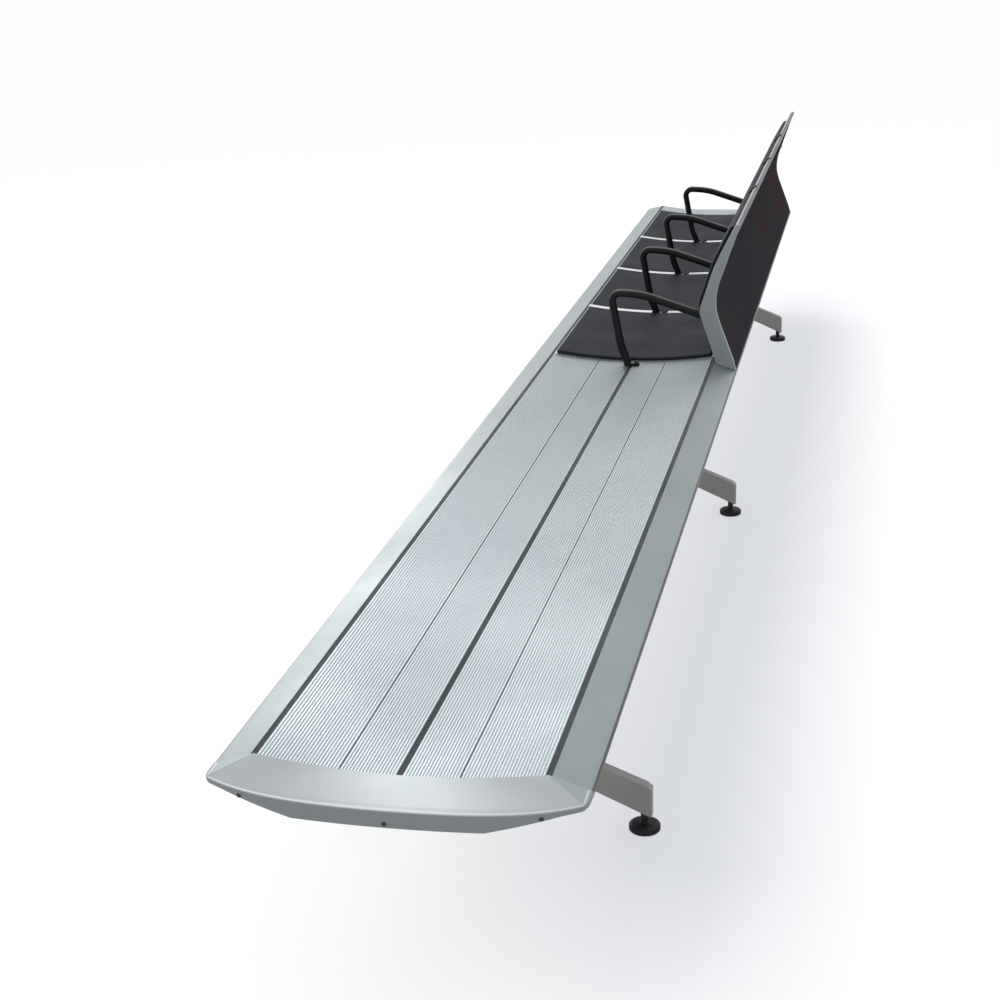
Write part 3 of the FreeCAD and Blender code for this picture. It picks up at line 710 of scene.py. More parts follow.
def grown(name: str, tree: bpy.types.NodeTree, values: dict[str, Any],
          seed_mesh: bpy.types.Mesh | None = None, smooth: float | None = None) -> bpy.types.Object:
    """Runs a Geometry Nodes tree and keeps its result as a plain mesh.

    Args:
        name: Name of the object.
        tree: The tree.
        values: Input name to value.
        seed_mesh: The mesh that the tree starts from, if it needs one.
        smooth: Shading angle in degrees, or None.

    Returns:
        The object with the applied result.
    """
    obj = linked(bpy.data.objects.new(name, seed_mesh or bpy.data.meshes.new(name)))
    modifier = obj.modifiers.new("grow", "NODES")
    modifier.node_group = tree
    sockets = {item.name: item.identifier for item in tree.interface.items_tree
               if item.item_type == "SOCKET" and item.in_out == "INPUT"}
    for key, value in values.items():
        modifier[sockets[key]] = value
    return baked(obj, smooth)


def geometry_tree(name: str, inputs: Sequence[tuple[str, str, Any]]) -> tuple[Graph, Any, Any]:
    """Starts a Geometry Nodes tree.

    Args:
        name: Name of the tree.
        inputs: Name, socket type and default of each input after Geometry.

    Returns:
        Its graph, its input node and its output node.
    """
    tree = bpy.data.node_groups.new(name, "GeometryNodeTree")
    open_socket(tree, "Geometry", "NodeSocketGeometry")
    for label, kind, value in inputs:
        open_socket(tree, label, kind, value=value)
    open_socket(tree, "Material", "NodeSocketMaterial")
    open_socket(tree, "Geometry", "NodeSocketGeometry", output=True)
    graph = Graph(tree)
    return graph, graph.add("NodeGroupInput"), graph.add("NodeGroupOutput")


def finish_tree(graph: Graph, given: Any, out: Any, geometry: Any) -> bpy.types.NodeTree:
    """Ends a tree in Realize Instances and Set Material, and returns it."""
    real = graph.add("GeometryNodeRealizeInstances", {0: geometry})
    painted = graph.add("GeometryNodeSetMaterial", {"Geometry": real.outputs[0],
                                                    "Material": given.outputs["Material"]})
    graph.tree.links.new(painted.outputs[0], out.inputs["Geometry"])
    return graph.tree


def chain_mesh(name: str, points: Sequence[Sequence[float]], label: str,
               values: Sequence[float]) -> bpy.types.Mesh:
    """Makes a chain of edges with one float attribute for a tree to read.

    Args:
        name: Name of the mesh.
        points: Its points.
        label: Name of the attribute.
        values: One value for each point.

    Returns:
        The mesh.
    """
    mesh = bpy.data.meshes.new(name)
    mesh.from_pydata([tuple(p) for p in points], [(k, k + 1) for k in range(len(points) - 1)], [])
    mesh.attributes.new(label, "FLOAT", "POINT").data.foreach_set("value", list(values))
    return mesh


@dataclass
class SubAssembly:
    """What every sub-assembly has: the finishes and the CAD nodes."""

    finishes: Finishes
    nodes: dict[str, bpy.types.Object]

    def dress(self, names: Sequence[str], finish: Finish) -> None:
        """Gives CAD nodes that stay a finished material.

        Args:
            names: The nodes.
            finish: The finish.
        """
        material = self.finishes.of(finish)
        for name in names:
            obj = self.nodes[name]
            if not obj.material_slots:
                obj.data.materials.append(material)
            for place in obj.material_slots:
                place.material = material
            LOG.info("%s: CAD node in %s", name, finish.name)

    def build(self) -> None:
        """Builds the sub-assembly's pieces."""
        raise NotImplementedError


@dataclass
class RibbedDeck(SubAssembly):
    """Four ribbed planks with dark channels between them."""

    joint_y: float = 0.095
    joint_gap: float = 0.0016
    pitch: float = 0.0054
    groove: float = 0.0010
    skin: float = 0.005
    foot: float = 0.005
    depth: float = 0.0158
    overlap: float = 0.0008
    steps: int = 8

    def tree(self) -> bpy.types.NodeTree:
        """Plank tree: a grid that follows the dish, with a rounded rib every pitch, a skin and three feet."""
        numbers = [("Start", 0.0), ("End", 0.1), ("Near", 0.0), ("Far", 1.0), ("Groove", self.groove),
                   ("Centre", 1.0), ("Radius", 1.0), ("Skin", self.skin), ("Foot", self.foot),
                   ("Depth", self.depth)]
        graph, given, out = geometry_tree(
            "ribbed_plank", [(n, "NodeSocketFloat", v) for n, v in numbers]
            + [("Ribs", "NodeSocketInt", 10), ("Steps", "NodeSocketInt", self.steps)])
        g = given.outputs
        width = graph.maths("SUBTRACT", g["End"], g["Start"])
        length = graph.maths("SUBTRACT", g["Far"], g["Near"])
        rows = graph.maths("MULTIPLY_ADD", g["Ribs"], g["Steps"], 1.0)
        grid = graph.add("GeometryNodeMeshGrid", {"Size X": length, "Size Y": width, "Vertices X": 2,
                                                  "Vertices Y": rows})
        mid_x = graph.maths("MULTIPLY_ADD", length, 0.5, g["Near"])
        mid_y = graph.maths("MULTIPLY_ADD", width, 0.5, g["Start"])
        place = graph.split(graph.add("GeometryNodeInputPosition").outputs[0])
        y = graph.maths("ADD", place[1], mid_y)
        pitch = graph.maths("DIVIDE", width, g["Ribs"])
        turn = graph.maths("FRACT", graph.maths("DIVIDE", graph.maths("SUBTRACT", y, g["Start"]), pitch))
        swing = graph.maths("ABSOLUTE", graph.maths("MULTIPLY_ADD", turn, 2.0, -1.0))
        drop = graph.maths("MULTIPLY", graph.maths("POWER", swing, 3.0), g["Groove"])
        dish = self._dish(graph, g, y)
        lifted = graph.vector(graph.maths("ADD", place[0], mid_x), y, graph.maths("SUBTRACT", dish, drop))
        top = graph.add("GeometryNodeSetPosition", {"Geometry": grid.outputs[0], "Position": lifted})
        under = graph.add("GeometryNodeFlipFaces", {0: top.outputs[0]})
        down = graph.vector(z=graph.maths("MULTIPLY", g["Skin"], -1.0))
        skirt = graph.add("GeometryNodeExtrudeMesh", {"Mesh": under.outputs[0], "Offset": down,
                                                      "Offset Scale": 1.0, "Individual": False})
        parts = [top.outputs[0], skirt.outputs[0]]
        half = graph.maths("MULTIPLY", g["Foot"], 0.5)
        for at in (graph.maths("ADD", g["Start"], half), mid_y, graph.maths("SUBTRACT", g["End"], half)):
            tall = graph.maths("SUBTRACT", g["Depth"], g["Skin"])
            sink = graph.maths("MULTIPLY_ADD", tall, 0.5, g["Skin"])
            low = graph.maths("SUBTRACT", self._dish(graph, g, at), graph.maths("SUBTRACT", sink, self.overlap))
            bar = graph.add("GeometryNodeMeshCube", {"Size": graph.vector(length, g["Foot"], tall)})
            parts.append(graph.add("GeometryNodeTransform", {
                "Geometry": bar.outputs[0], "Translation": graph.vector(mid_x, at, low)}).outputs[0])
        merged = graph.add("GeometryNodeMergeByDistance", {
            "Geometry": graph.join(*reversed(parts)), "Distance": 1e-6})
        return finish_tree(graph, given, out, merged.outputs[0])

    @staticmethod
    def _dish(graph: Graph, g: Any, y: Any) -> Any:
        """Height of the dished top at y, in nodes."""
        inside = graph.maths("SUBTRACT", graph.maths("MULTIPLY", g["Radius"], g["Radius"]),
                             graph.maths("MULTIPLY", y, y))
        return graph.maths("SUBTRACT", g["Centre"], graph.maths("SQRT", inside))

    def build(self) -> None:
        """Grows the four planks and dresses the channels."""
        tree = self.tree()
        edge = SECTION.channel_y - SECTION.channel_half
        low, high = self.joint_y - self.joint_gap / 2, self.joint_y + self.joint_gap / 2
        spans = {"rear_inner": (SECTION.channel_half, low), "rear_outer": (high, edge),
                 "front_inner": (-low, -SECTION.channel_half), "front_outer": (-edge, -high)}
        for label, (start, end) in spans.items():
            plank = grown("ribbed_plank_" + label, tree, {
                "Start": start, "End": end, "Near": 0.0, "Far": SECTION.half_length, "Groove": self.groove,
                "Centre": SECTION.centre_z, "Radius": SECTION.radius, "Skin": self.skin, "Foot": self.foot,
                "Depth": self.depth, "Ribs": round((end - start) / self.pitch), "Steps": self.steps,
                "Material": self.finishes.of(Finishes.DECK)}, smooth=50.0)
            settle(plank, FRAME_BODY, ["deck_plank_" + label])
        self.dress(["front_channel", "rear_channel", "centre_channel"], Finishes.CHANNEL)


@dataclass
class SideRails(SubAssembly):
    """Two wing-shaped rails along the whole bench, with a rounded nose."""

    top_y: float = 0.2925
    nose: tuple[Point2, ...] = ((0.2956, 0.4224), (0.2976, 0.4202), (0.2985, 0.4175), (0.2978, 0.4150),
                                (0.2945, 0.4130), (0.2890, 0.4122))

    def outline(self) -> list[Point2]:
        """Outline of the rear rail."""
        start = SECTION.channel_y + SECTION.channel_half
        top = [(float(y), SECTION.rail(float(y))) for y in np.linspace(start, self.top_y, 9)]
        nose = flowing([(self.top_y, SECTION.rail(self.top_y)), *self.nose], 4)[1:]
        under = [(SECTION.wing_y, SECTION.wing_z), (start, SECTION.belly(start))]
        return [*top, *nose, *under]

    def build(self) -> None:
        """Makes both rails."""
        for label, side in (("rear", 1.0), ("front", -1.0)):
            line = [(side * y, z) for y, z in self.outline()]
            rail = extruded("wing_rail_" + label, line, -SECTION.half_length, SECTION.half_length,
                            self.finishes.of(Finishes.RAIL), 35.0)
            settle(rail, FRAME_BODY, [label + "_rail"])


@dataclass
class EndCaps(SubAssembly):
    """Cast caps with a dished inner edge, a low bulging lip and three screw holes."""

    reach: float = 0.093
    mitre_reach: float = 0.048
    mitre_y: float = 0.291
    lip_z: float = 0.416
    corner: tuple[Point2, ...] = ((0.035, 0.297), (0.022, 0.2985), (0.0, 0.2985))
    edge_round: float = 0.0028
    screw_yz: tuple[Point2, ...] = ((-0.232, 0.4085), (0.0, 0.3925), (0.232, 0.4085))
    hole_r: float = 0.0041
    hole_depth: float = 0.0042
    cutter_length: float = 0.02
    bulge: Point2 = (0.55, 0.45)
    even_until: float = 0.96
    inner_trim: float = 0.0006
    round_share: Point2 = (0.45, 0.4)
    top_steps: tuple[float, ...] = (0.0, 0.05, 0.3, 0.6, 0.85, 1.0)
    lean: float = 0.0035
    lean_share: float = 0.25
    face_steps: tuple[float, ...] = (0.35, 0.7, 0.92)
    hem: Point2 = (0.0008, 0.0004)
    smooth: float = 34.0

    def lip(self, u: float) -> tuple[float, float, float]:
        """Point of the lip, with u from 0 in the middle to 1 at the mitre."""
        out = self.reach - (self.reach - self.mitre_reach) * (self.bulge[0] * u * u + self.bulge[1] * u ** 5)
        y = self.mitre_y * u
        return SECTION.half_length + out, y, self.lip_z + (SECTION.rail(self.mitre_y) - self.lip_z) * u ** 3

    def stations(self) -> list[tuple[Vector, Vector]]:
        """Pairs of inner and outer top points from the middle to the rear end of the outline."""
        h = SECTION.half_length
        rows: list[tuple[Vector, Vector]] = []
        for u in [*np.linspace(0.0, self.even_until, 40), (self.even_until + 1.0) / 2, 1.0]:
            y_in = SECTION.channel_y * float(u)
            rows.append((Vector((h, y_in, SECTION.dish(y_in))), Vector(self.lip(float(u)))))
        last = self.lip(1.0)
        line = flowing([self.lip(self.even_until)[:2], last[:2], *[(h + a, b) for a, b in self.corner]], 6)[7:]
        for k, (x, y) in enumerate(line, 1):
            reach = SECTION.rail_edge - self.inner_trim - SECTION.channel_y
            y_in = SECTION.channel_y + reach * k / len(line)
            rows.append((Vector((h, y_in, SECTION.rail(y_in))), Vector((x, y, SECTION.rail(y)))))
        return rows

    def profile(self, inner: Vector, outer: Vector) -> list[Vector]:
        """Section from the inner edge over the lip and down to the underside."""
        floor = SECTION.belly(outer.y)
        run = outer - inner
        r = min(self.edge_round, self.round_share[0] * run.length, self.round_share[1] * (outer.z - floor))
        out = run.normalized()
        down = Vector((0.0, 0.0, -1.0))
        pts = [inner.lerp(outer - out * r, t) for t in self.top_steps]
        centre = outer - out * r + down * r
        for step in range(1, 6):
            a = math.pi / 2 * step / 6
            pts.append(centre + (out * math.sin(a) - down * math.cos(a)) * r)
        pts.append(outer + down * r)
        flat = Vector((outer.x - inner.x, outer.y - inner.y, 0.0)).normalized()
        lean = min(self.lean, self.lean_share * run.length)
        foot = Vector((outer.x, outer.y, floor))
        for t in self.face_steps:
            pts.append((outer + down * r).lerp(foot, t) - flat * lean * t * t)
        pts.append(foot - flat * (lean + self.hem[0]) + Vector((0.0, 0.0, self.hem[1])))
        return pts

    def body(self, name: str) -> bpy.types.Object:
        """Lofts the near cap.

        Args:
            name: Name of the object.

        Returns:
            The closed cap.
        """
        half = self.stations()
        rows = [(Vector((a.x, -a.y, a.z)), Vector((b.x, -b.y, b.z))) for a, b in reversed(half[1:])] + half
        loops = [self.profile(a, b) for a, b in rows]
        h = SECTION.half_length
        for loop in loops:
            low = loop[-1]
            loop.append(Vector((h, low.y, SECTION.belly(low.y))))
        n = len(loops[0])
        verts = [tuple(p) for loop in loops for p in loop]
        faces = [[k * n + i, k * n + i + 1, (k + 1) * n + i + 1, (k + 1) * n + i]
                 for k in range(len(loops) - 1) for i in range(n - 1)]
        cap = new_piece(name, verts, faces, self.finishes.of(Finishes.CAST), self.smooth)
        return tidy_normals(cap, 2e-6, fill=True)

    def drilled(self, cap: bpy.types.Object) -> bpy.types.Object:
        """Sinks the three screw holes."""
        bm = bmesh.new()
        for y, z in self.screw_yz:
            x = self.lip(min(1.0, abs(y) / self.mitre_y))[0]
            middle = x - self.hole_depth + self.cutter_length / 2
            turn = Matrix.Translation((middle, y, z)) @ Matrix.Rotation(math.pi / 2, 4, "Y")
            bmesh.ops.create_cone(bm, cap_ends=True, segments=24, radius1=self.hole_r, radius2=self.hole_r,
                                  depth=self.cutter_length, matrix=turn)
        mesh = bpy.data.meshes.new("screw_hole_cutter")
        bm.to_mesh(mesh)
        bm.free()
        cutter = linked(bpy.data.objects.new("screw_hole_cutter", mesh))
        cut = cap.modifiers.new("screw_holes", "BOOLEAN")
        cut.operation, cut.solver, cut.object = "DIFFERENCE", "EXACT", cutter
        baked(cap, self.smooth)
        bpy.data.objects.remove(cutter)
        bpy.data.meshes.remove(mesh)
        return cap

    def build(self) -> None:
        """Makes both caps and dresses their screws."""
        near = self.drilled(self.body("cast_end_cap_near"))
        far = mirrored_x(near, "cast_end_cap_far")
        settle(near, FRAME_BODY, ["end_cap_near"])
        settle(far, FRAME_BODY, ["end_cap_far"])
        self.dress(["end_cap_screws"], Finishes.BOLT)


@dataclass(frozen=True)
class BackSection:
    """Front and rear lines of the back, as heights with the distance from the middle."""

    front_rows: tuple[Point2, ...] = (
        (0.440, 0.242), (0.452, 0.2381), (0.480, 0.229), (0.520, 0.2155), (0.550, 0.205), (0.570, 0.1985),
        (0.583, 0.195), (0.595, 0.1955), (0.610, 0.1995), (0.630, 0.2065), (0.660, 0.216), (0.705, 0.231),
        (0.740, 0.246), (0.780, 0.266), (0.800, 0.2765), (0.812, 0.283))
    rear_rows: tuple[Point2, ...] = (
        (0.440, 0.294), (0.452, 0.2895), (0.480, 0.279), (0.520, 0.264), (0.550, 0.2525), (0.570, 0.246),
        (0.583, 0.2425), (0.595, 0.2403), (0.610, 0.2393), (0.630, 0.240), (0.660, 0.2455), (0.705, 0.261),
        (0.740, 0.273), (0.780, 0.287), (0.800, 0.294), (0.812, 0.298))
    nose: tuple[Point2, ...] = ((0.2855, 0.817), (0.290, 0.825), (0.296, 0.8293), (0.301, 0.8288),
                                (0.3038, 0.825), (0.3028, 0.820))

    def run(self, rows: tuple[Point2, ...], low: float, high: float) -> list[Point2]:
        """Smooth (y, z) line of a face between two heights."""
        return [(y, z) for z, y in flowing(rows, 4) if low - 1e-9 <= z <= high + 1e-9]

    def at(self, rows: tuple[Point2, ...], z: float) -> float:
        """Distance of a face at one height."""
        return float(np.interp(z, [a for a, _ in rows], [b for _, b in rows]))


BACK = BackSection()


@dataclass
class BackShell(SubAssembly):
    """Rear panel, top rail, side caps and the parts inside the back."""

    low_x: float = -2.534
    high_x: float = 0.074
    cap_thick: float = 0.014
    shell: float = 0.003
    rail_z0: float = 0.800
    pad_top: float = 0.812
    lip_y: float = 0.2965
    lip_gap: float = 0.0015
    lip_bend: Point2 = (0.2947, 0.438)
    foot_bend: Point2 = (0.290, 0.4385)
    foot_y: float = 0.293

    def lip(self) -> Point2:
        """Tip of the outward lip, just over the side rail."""
        return self.lip_y, SECTION.rail(self.lip_y) + self.lip_gap

    def rear_panel(self) -> bpy.types.Object:
        """One smooth sheet that follows the rear line and turns out at its foot."""
        outer = BACK.run(BACK.rear_rows, 0.452, self.rail_z0)
        inner = [(y - self.shell, z) for y, z in reversed(outer)]
        foot = flowing([self.lip(), self.lip_bend, outer[0]], 4)[:-1]
        line = [*foot, *outer, *inner, self.foot_bend, (self.foot_y, SECTION.rail(self.foot_y))]
        return extruded("lacquered_rear_panel", line, self.low_x + self.cap_thick, self.high_x - self.cap_thick,
                        self.finishes.of(Finishes.PANEL), 30.0)

    def top_rail(self) -> bpy.types.Object:
        """Extruded rail with a rolled nose along the top of the back."""
        front = [(BACK.at(BACK.front_rows, z), z) for z in (self.rail_z0, self.pad_top)]
        rear = [(BACK.at(BACK.rear_rows, z), z) for z in (self.pad_top, self.rail_z0)]
        nose = flowing([front[-1], *BACK.nose, rear[0]], 4)
        line = [front[0], *nose, rear[1]]
        # the rail finish's painted nose shade also darkens this rail's rear half, from about 0.295 m out from
        # the middle
        return extruded("rolled_top_rail", line, self.low_x + self.cap_thick, self.high_x - self.cap_thick,
                        self.finishes.of(Finishes.RAIL), 40.0)

    def side_cap(self, name: str, x0: float) -> bpy.types.Object:
        """Cast plate on one end of the back, with rounded edges.

        Args:
            name: Name of the object.
            x0: Lower side of the plate.

        Returns:
            The plate.
        """
        front = BACK.run(BACK.front_rows, 0.440, self.pad_top)
        front[0] = (front[0][0], SECTION.rail(front[0][0]))
        rear = BACK.run(BACK.rear_rows, 0.452, self.pad_top)[::-1]
        nose = flowing([front[-1], *BACK.nose, rear[0]], 3)[1:-1]
        foot = [self.lip(), (self.foot_y, SECTION.rail(self.foot_y))]
        line = [*front, *nose, *rear, *foot]
        plate = extruded(name, line, x0, x0 + self.cap_thick, self.finishes.of(Finishes.SIDE), None)
        return rounded_edges(plate, 0.0016, 3, 50.0)

    def build(self) -> None:
        """Makes the shells of the back and dresses what stays."""
        settle(self.rear_panel(), FRAME_BODY, ["back_rear_panel"])
        settle(self.top_rail(), FRAME_BODY, ["back_top_rail"])
        near = self.side_cap("side_plate_near", self.high_x - self.cap_thick)
        far = self.side_cap("side_plate_far", self.low_x)
        settle(near, FRAME_BODY, ["side_cap_near"])
        settle(far, FRAME_BODY, ["side_cap_far"])
        self.dress(["back_front_shell", "back_gap_strips"], Finishes.CHANNEL)
        self.dress(["back_upright_1", "back_upright_2", "back_upright_3"], Finishes.FRAME)
        self.dress(["side_cap_screws"], Finishes.BOLT)


@dataclass
class UpholsteredPad:
    """One pad: a thin slab that follows the seat or the back, swollen by pressure and subdivided."""

    name: str
    node: str
    facing: Facing
    low_x: float
    high_x: float
    thickness: float = 0.0092
    swell: float = 0.0034
    edge_round: float = 0.0042
    cell: float = 0.0105
    half_width: float = 0.221
    low_z: float = 0.452
    high_z: float = 0.812
    lift: float = 0.0003
    round_steps: int = 3
    hem_share: float = 0.3
    crown_power: int = 6
    pressure: float = 4.0
    quality: int = 4
    frames: int = 20

    def span(self) -> tuple[float, float]:
        """The two ends of the pad across the bench."""
        return (-self.half_width, self.half_width) if self.facing is Facing.SEAT else (self.low_z, self.high_z)

    def place(self, u: float, v: float, w: float) -> tuple[float, float, float]:
        """Puts a point at u along the bench, v across the pad and w off its base."""
        if self.facing is Facing.SEAT:
            r = SECTION.radius - self.lift - w
            return u, v, SECTION.centre_z - math.sqrt(r * r - v * v)
        return u, BACK.at(BACK.front_rows, v) - w, v

    def slab(self, material: bpy.types.Material) -> tuple[bpy.types.Object, list[int]]:
        """Makes the slab before it swells.

        Args:
            material: Its material.

        Returns:
            The object and the points of its base, which stay put.
        """
        v0, v1 = self.span()
        r, t = self.edge_round, self.thickness
        nu = max(8, round((self.high_x - self.low_x) / self.cell))
        nv = max(8, round((v1 - v0) / self.cell))
        verts: list[tuple[float, float, float]] = []
        faces: list[list[int]] = []

        def sheet(inset: float, w: float) -> list[list[int]]:
            us = np.linspace(self.low_x + inset, self.high_x - inset, nu + 1)
            vs = np.linspace(v0 + inset, v1 - inset, nv + 1)
            base = len(verts)
            verts.extend(self.place(float(u), float(v), w) for u in us for v in vs)
            return [[base + i * (nv + 1) + j for j in range(nv + 1)] for i in range(nu + 1)]

        def border(grid: list[list[int]]) -> list[int]:
            return (grid[0][:-1] + [row[-1] for row in grid[:-1]] + grid[-1][:0:-1]
                    + [row[0] for row in grid[:0:-1]])

        def ring(inset: float, w: float) -> list[int]:
            return border(sheet(inset, w))

        top, bottom = sheet(r, t), sheet(0.0, 0.0)
        for grid, flip in ((top, False), (bottom, True)):
            for i in range(nu):
                for j in range(nv):
                    quad = [grid[i][j], grid[i + 1][j], grid[i + 1][j + 1], grid[i][j + 1]]
                    faces.append(quad[::-1] if flip else quad)
        loops = [border(top)]
        for step in range(1, self.round_steps + 1):
            a = math.pi / 2 * step / self.round_steps
            loops.append(ring(r * (1 - math.sin(a)), t - r * (1 - math.cos(a))))
        loops.append(ring(0.0, t * self.hem_share))
        loops.append(border(bottom))
        for a, b in zip(loops, loops[1:]):
            n = len(a)
            faces += [[a[k], a[(k + 1) % n], b[(k + 1) % n], b[k]] for k in range(n)]
        used = sorted({i for f in faces for i in f})
        index = {old: new for new, old in enumerate(used)}
        obj = new_piece(self.name, [verts[i] for i in used],
                        [[index[i] for i in f] for f in faces], material, None)
        return tidy_normals(obj, 0.0), [index[i] for row in bottom for i in row]

    def swollen(self, obj: bpy.types.Object, base: list[int]) -> None:
        """Lets pressure fill the pad and keeps the rise within the swell.

        Args:
            obj: The slab.
            base: Points that stay put.
        """
        scene = bpy.context.scene
        pins = obj.vertex_groups.new(name="base")
        pins.add(base, 1.0, "REPLACE")
        cloth = obj.modifiers.new("stuffing", "CLOTH")
        cloth.settings.vertex_group_mass = "base"
        cloth.settings.use_pressure = True
        cloth.settings.uniform_pressure_force = self.pressure
        cloth.settings.quality = self.quality
        cloth.settings.effector_weights.gravity = 0.0
        cloth.point_cache.frame_start, cloth.point_cache.frame_end = 1, self.frames
        for frame in range(1, self.frames + 1):
            scene.frame_set(frame)
        graph = bpy.context.evaluated_depsgraph_get()
        mesh = obj.evaluated_get(graph).to_mesh()
        n = len(obj.data.vertices)
        rest, moved = np.empty(3 * n), np.empty(3 * n)
        obj.data.vertices.foreach_get("co", rest)
        mesh.vertices.foreach_get("co", moved)
        obj.evaluated_get(graph).to_mesh_clear()
        obj.modifiers.clear()
        obj.vertex_groups.clear()
        scene.frame_set(1)
        shift = (moved - rest).reshape(-1, 3)
        reach = float(np.linalg.norm(shift, axis=1).max())
        if not math.isfinite(reach) or reach < 1e-6:
            self.crowned(obj)
            return
        shift *= min(1.0, self.swell / reach)
        obj.data.vertices.foreach_set("co", (rest.reshape(-1, 3) + shift).ravel())
        obj.data.update()
        LOG.info("%s: pressure moved it %.1f mm, kept to %.1f mm", self.name, reach / MM, self.swell / MM)

    def crowned(self, obj: bpy.types.Object) -> None:
        v0, v1 = self.span()
        for vert in obj.data.vertices:
            v = vert.co.y if self.facing is Facing.SEAT else vert.co.z
            a = 2 * (vert.co.x - self.low_x) / (self.high_x - self.low_x) - 1
            b = 2 * (v - v0) / (v1 - v0) - 1
            rise = self.swell * max(0.0, 1 - a ** self.crown_power) * max(0.0, 1 - b ** self.crown_power)
            if self.facing is Facing.SEAT:
                base = self.place(vert.co.x, v, 0.0)[2]
                vert.co.z += rise * min(1.0, (vert.co.z - base) / self.thickness)
            else:
                base = self.place(vert.co.x, v, 0.0)[1]
                vert.co.y -= rise * min(1.0, (base - vert.co.y) / self.thickness)
        obj.data.update()

    def build(self, material: bpy.types.Material) -> bpy.types.Object:
        """Makes, swells and smooths the pad, and hands it over.

        Args:
            material: Its material.

        Returns:
            The finished pad.
        """
        obj, base = self.slab(material)
        self.swollen(obj, base)
        smooth = obj.modifiers.new("smooth_skin", "SUBSURF")
        smooth.levels = smooth.render_levels = 1
        baked(obj, 180.0)
        return settle(obj, FRAME_BODY, [self.node])


@dataclass
class Upholstery(SubAssembly):
    """Four seat pads and four back pads on their metal pans."""

    bounds_x: tuple[float, ...] = (0.0, *BOUNDARY_X, -2.384)
    gap: float = 0.030
    seat_thick: float = 0.0092
    back_thick: float = 0.0112

    def build(self) -> None:
        """Makes the eight pads and dresses the pans."""
        material = self.finishes.of(Finishes.PAD)
        for k in range(4):
            high = self.bounds_x[k] - (self.gap / 2 if k else 0.0)
            low = self.bounds_x[k + 1] + (self.gap / 2 if k < 3 else 0.0)
            for facing in Facing:
                node = f"{facing.value}_pad_{k + 1}"
                thick = self.seat_thick if facing is Facing.SEAT else self.back_thick
                UpholsteredPad("upholstered_" + node, node, facing, low, high, thickness=thick).build(material)
        # the pans take the near-white metal as a painted highlight
        self.dress([f"seat_pan_{k}" for k in range(1, 5)], Finishes.STRIP)
        self.dress(["end_pan"], Finishes.DECK)


@dataclass
class GapTrim(SubAssembly):
    """Strips in the near-white pan metal, a painted highlight, between the seat pads, and dark pieces on the
    top rail as painted shade at the ends of the gaps between the back pads.
    """

    places: tuple[float, ...] = BOUNDARY_X
    half: float = 0.0145
    gap_shade_half: float = 0.012
    lift: float = 0.0003
    rise: float = 0.0085
    spans: tuple[Point2, ...] = ((-0.2235, -0.0225), (0.0265, 0.2225))
    # outline of a dark piece over the top rail's front edge: painted shade where a gap between back pads ends
    gap_shade_outline: tuple[Point2, ...] = ((0.2785, 0.8125), (0.2810, 0.8185), (0.2860, 0.8275), (0.2935, 0.8318),
                                (0.2985, 0.8318), (0.2985, 0.8293), (0.2925, 0.8272), (0.2858, 0.8172),
                                (0.2832, 0.8120))

    def section(self, span: Point2) -> list[Point2]:
        """Outline of one strip, lying on the dished pan.

        Args:
            span: Where it starts and ends across the bench.

        Returns:
            The corners, top first.
        """
        reach = [float(y) for y in np.linspace(*span, 13)]
        top = [(y, SECTION.dish(y) + self.rise) for y in reach]
        return top + [(y, SECTION.dish(y) + self.lift) for y in reversed(reach)]

    def build(self) -> None:
        """Lays two strips in each gap and puts a dark piece over its end on the rail, as painted shade."""
        # bright is the near-white pan metal, a painted highlight
        bright, dark = self.finishes.of(Finishes.STRIP), self.finishes.of(Finishes.ARM)
        strips = [extruded(f"gap_strip_{k}_{q}", self.section(span), x - self.half, x + self.half, bright)
                  for k, x in enumerate(self.places, 1) for q, span in enumerate(self.spans, 1)]
        settle(joined("seat_gap_strips", strips), FRAME_BODY)
        # dark pieces in the black arm finish, as painted shade at the gap ends
        gap_shades = [extruded(f"rail_gap_shade_{k}", self.gap_shade_outline, x - self.gap_shade_half, x + self.gap_shade_half, dark)
                 for k, x in enumerate(self.places, 1)]
        settle(joined("top_rail_clips", gap_shades), FRAME_BODY)


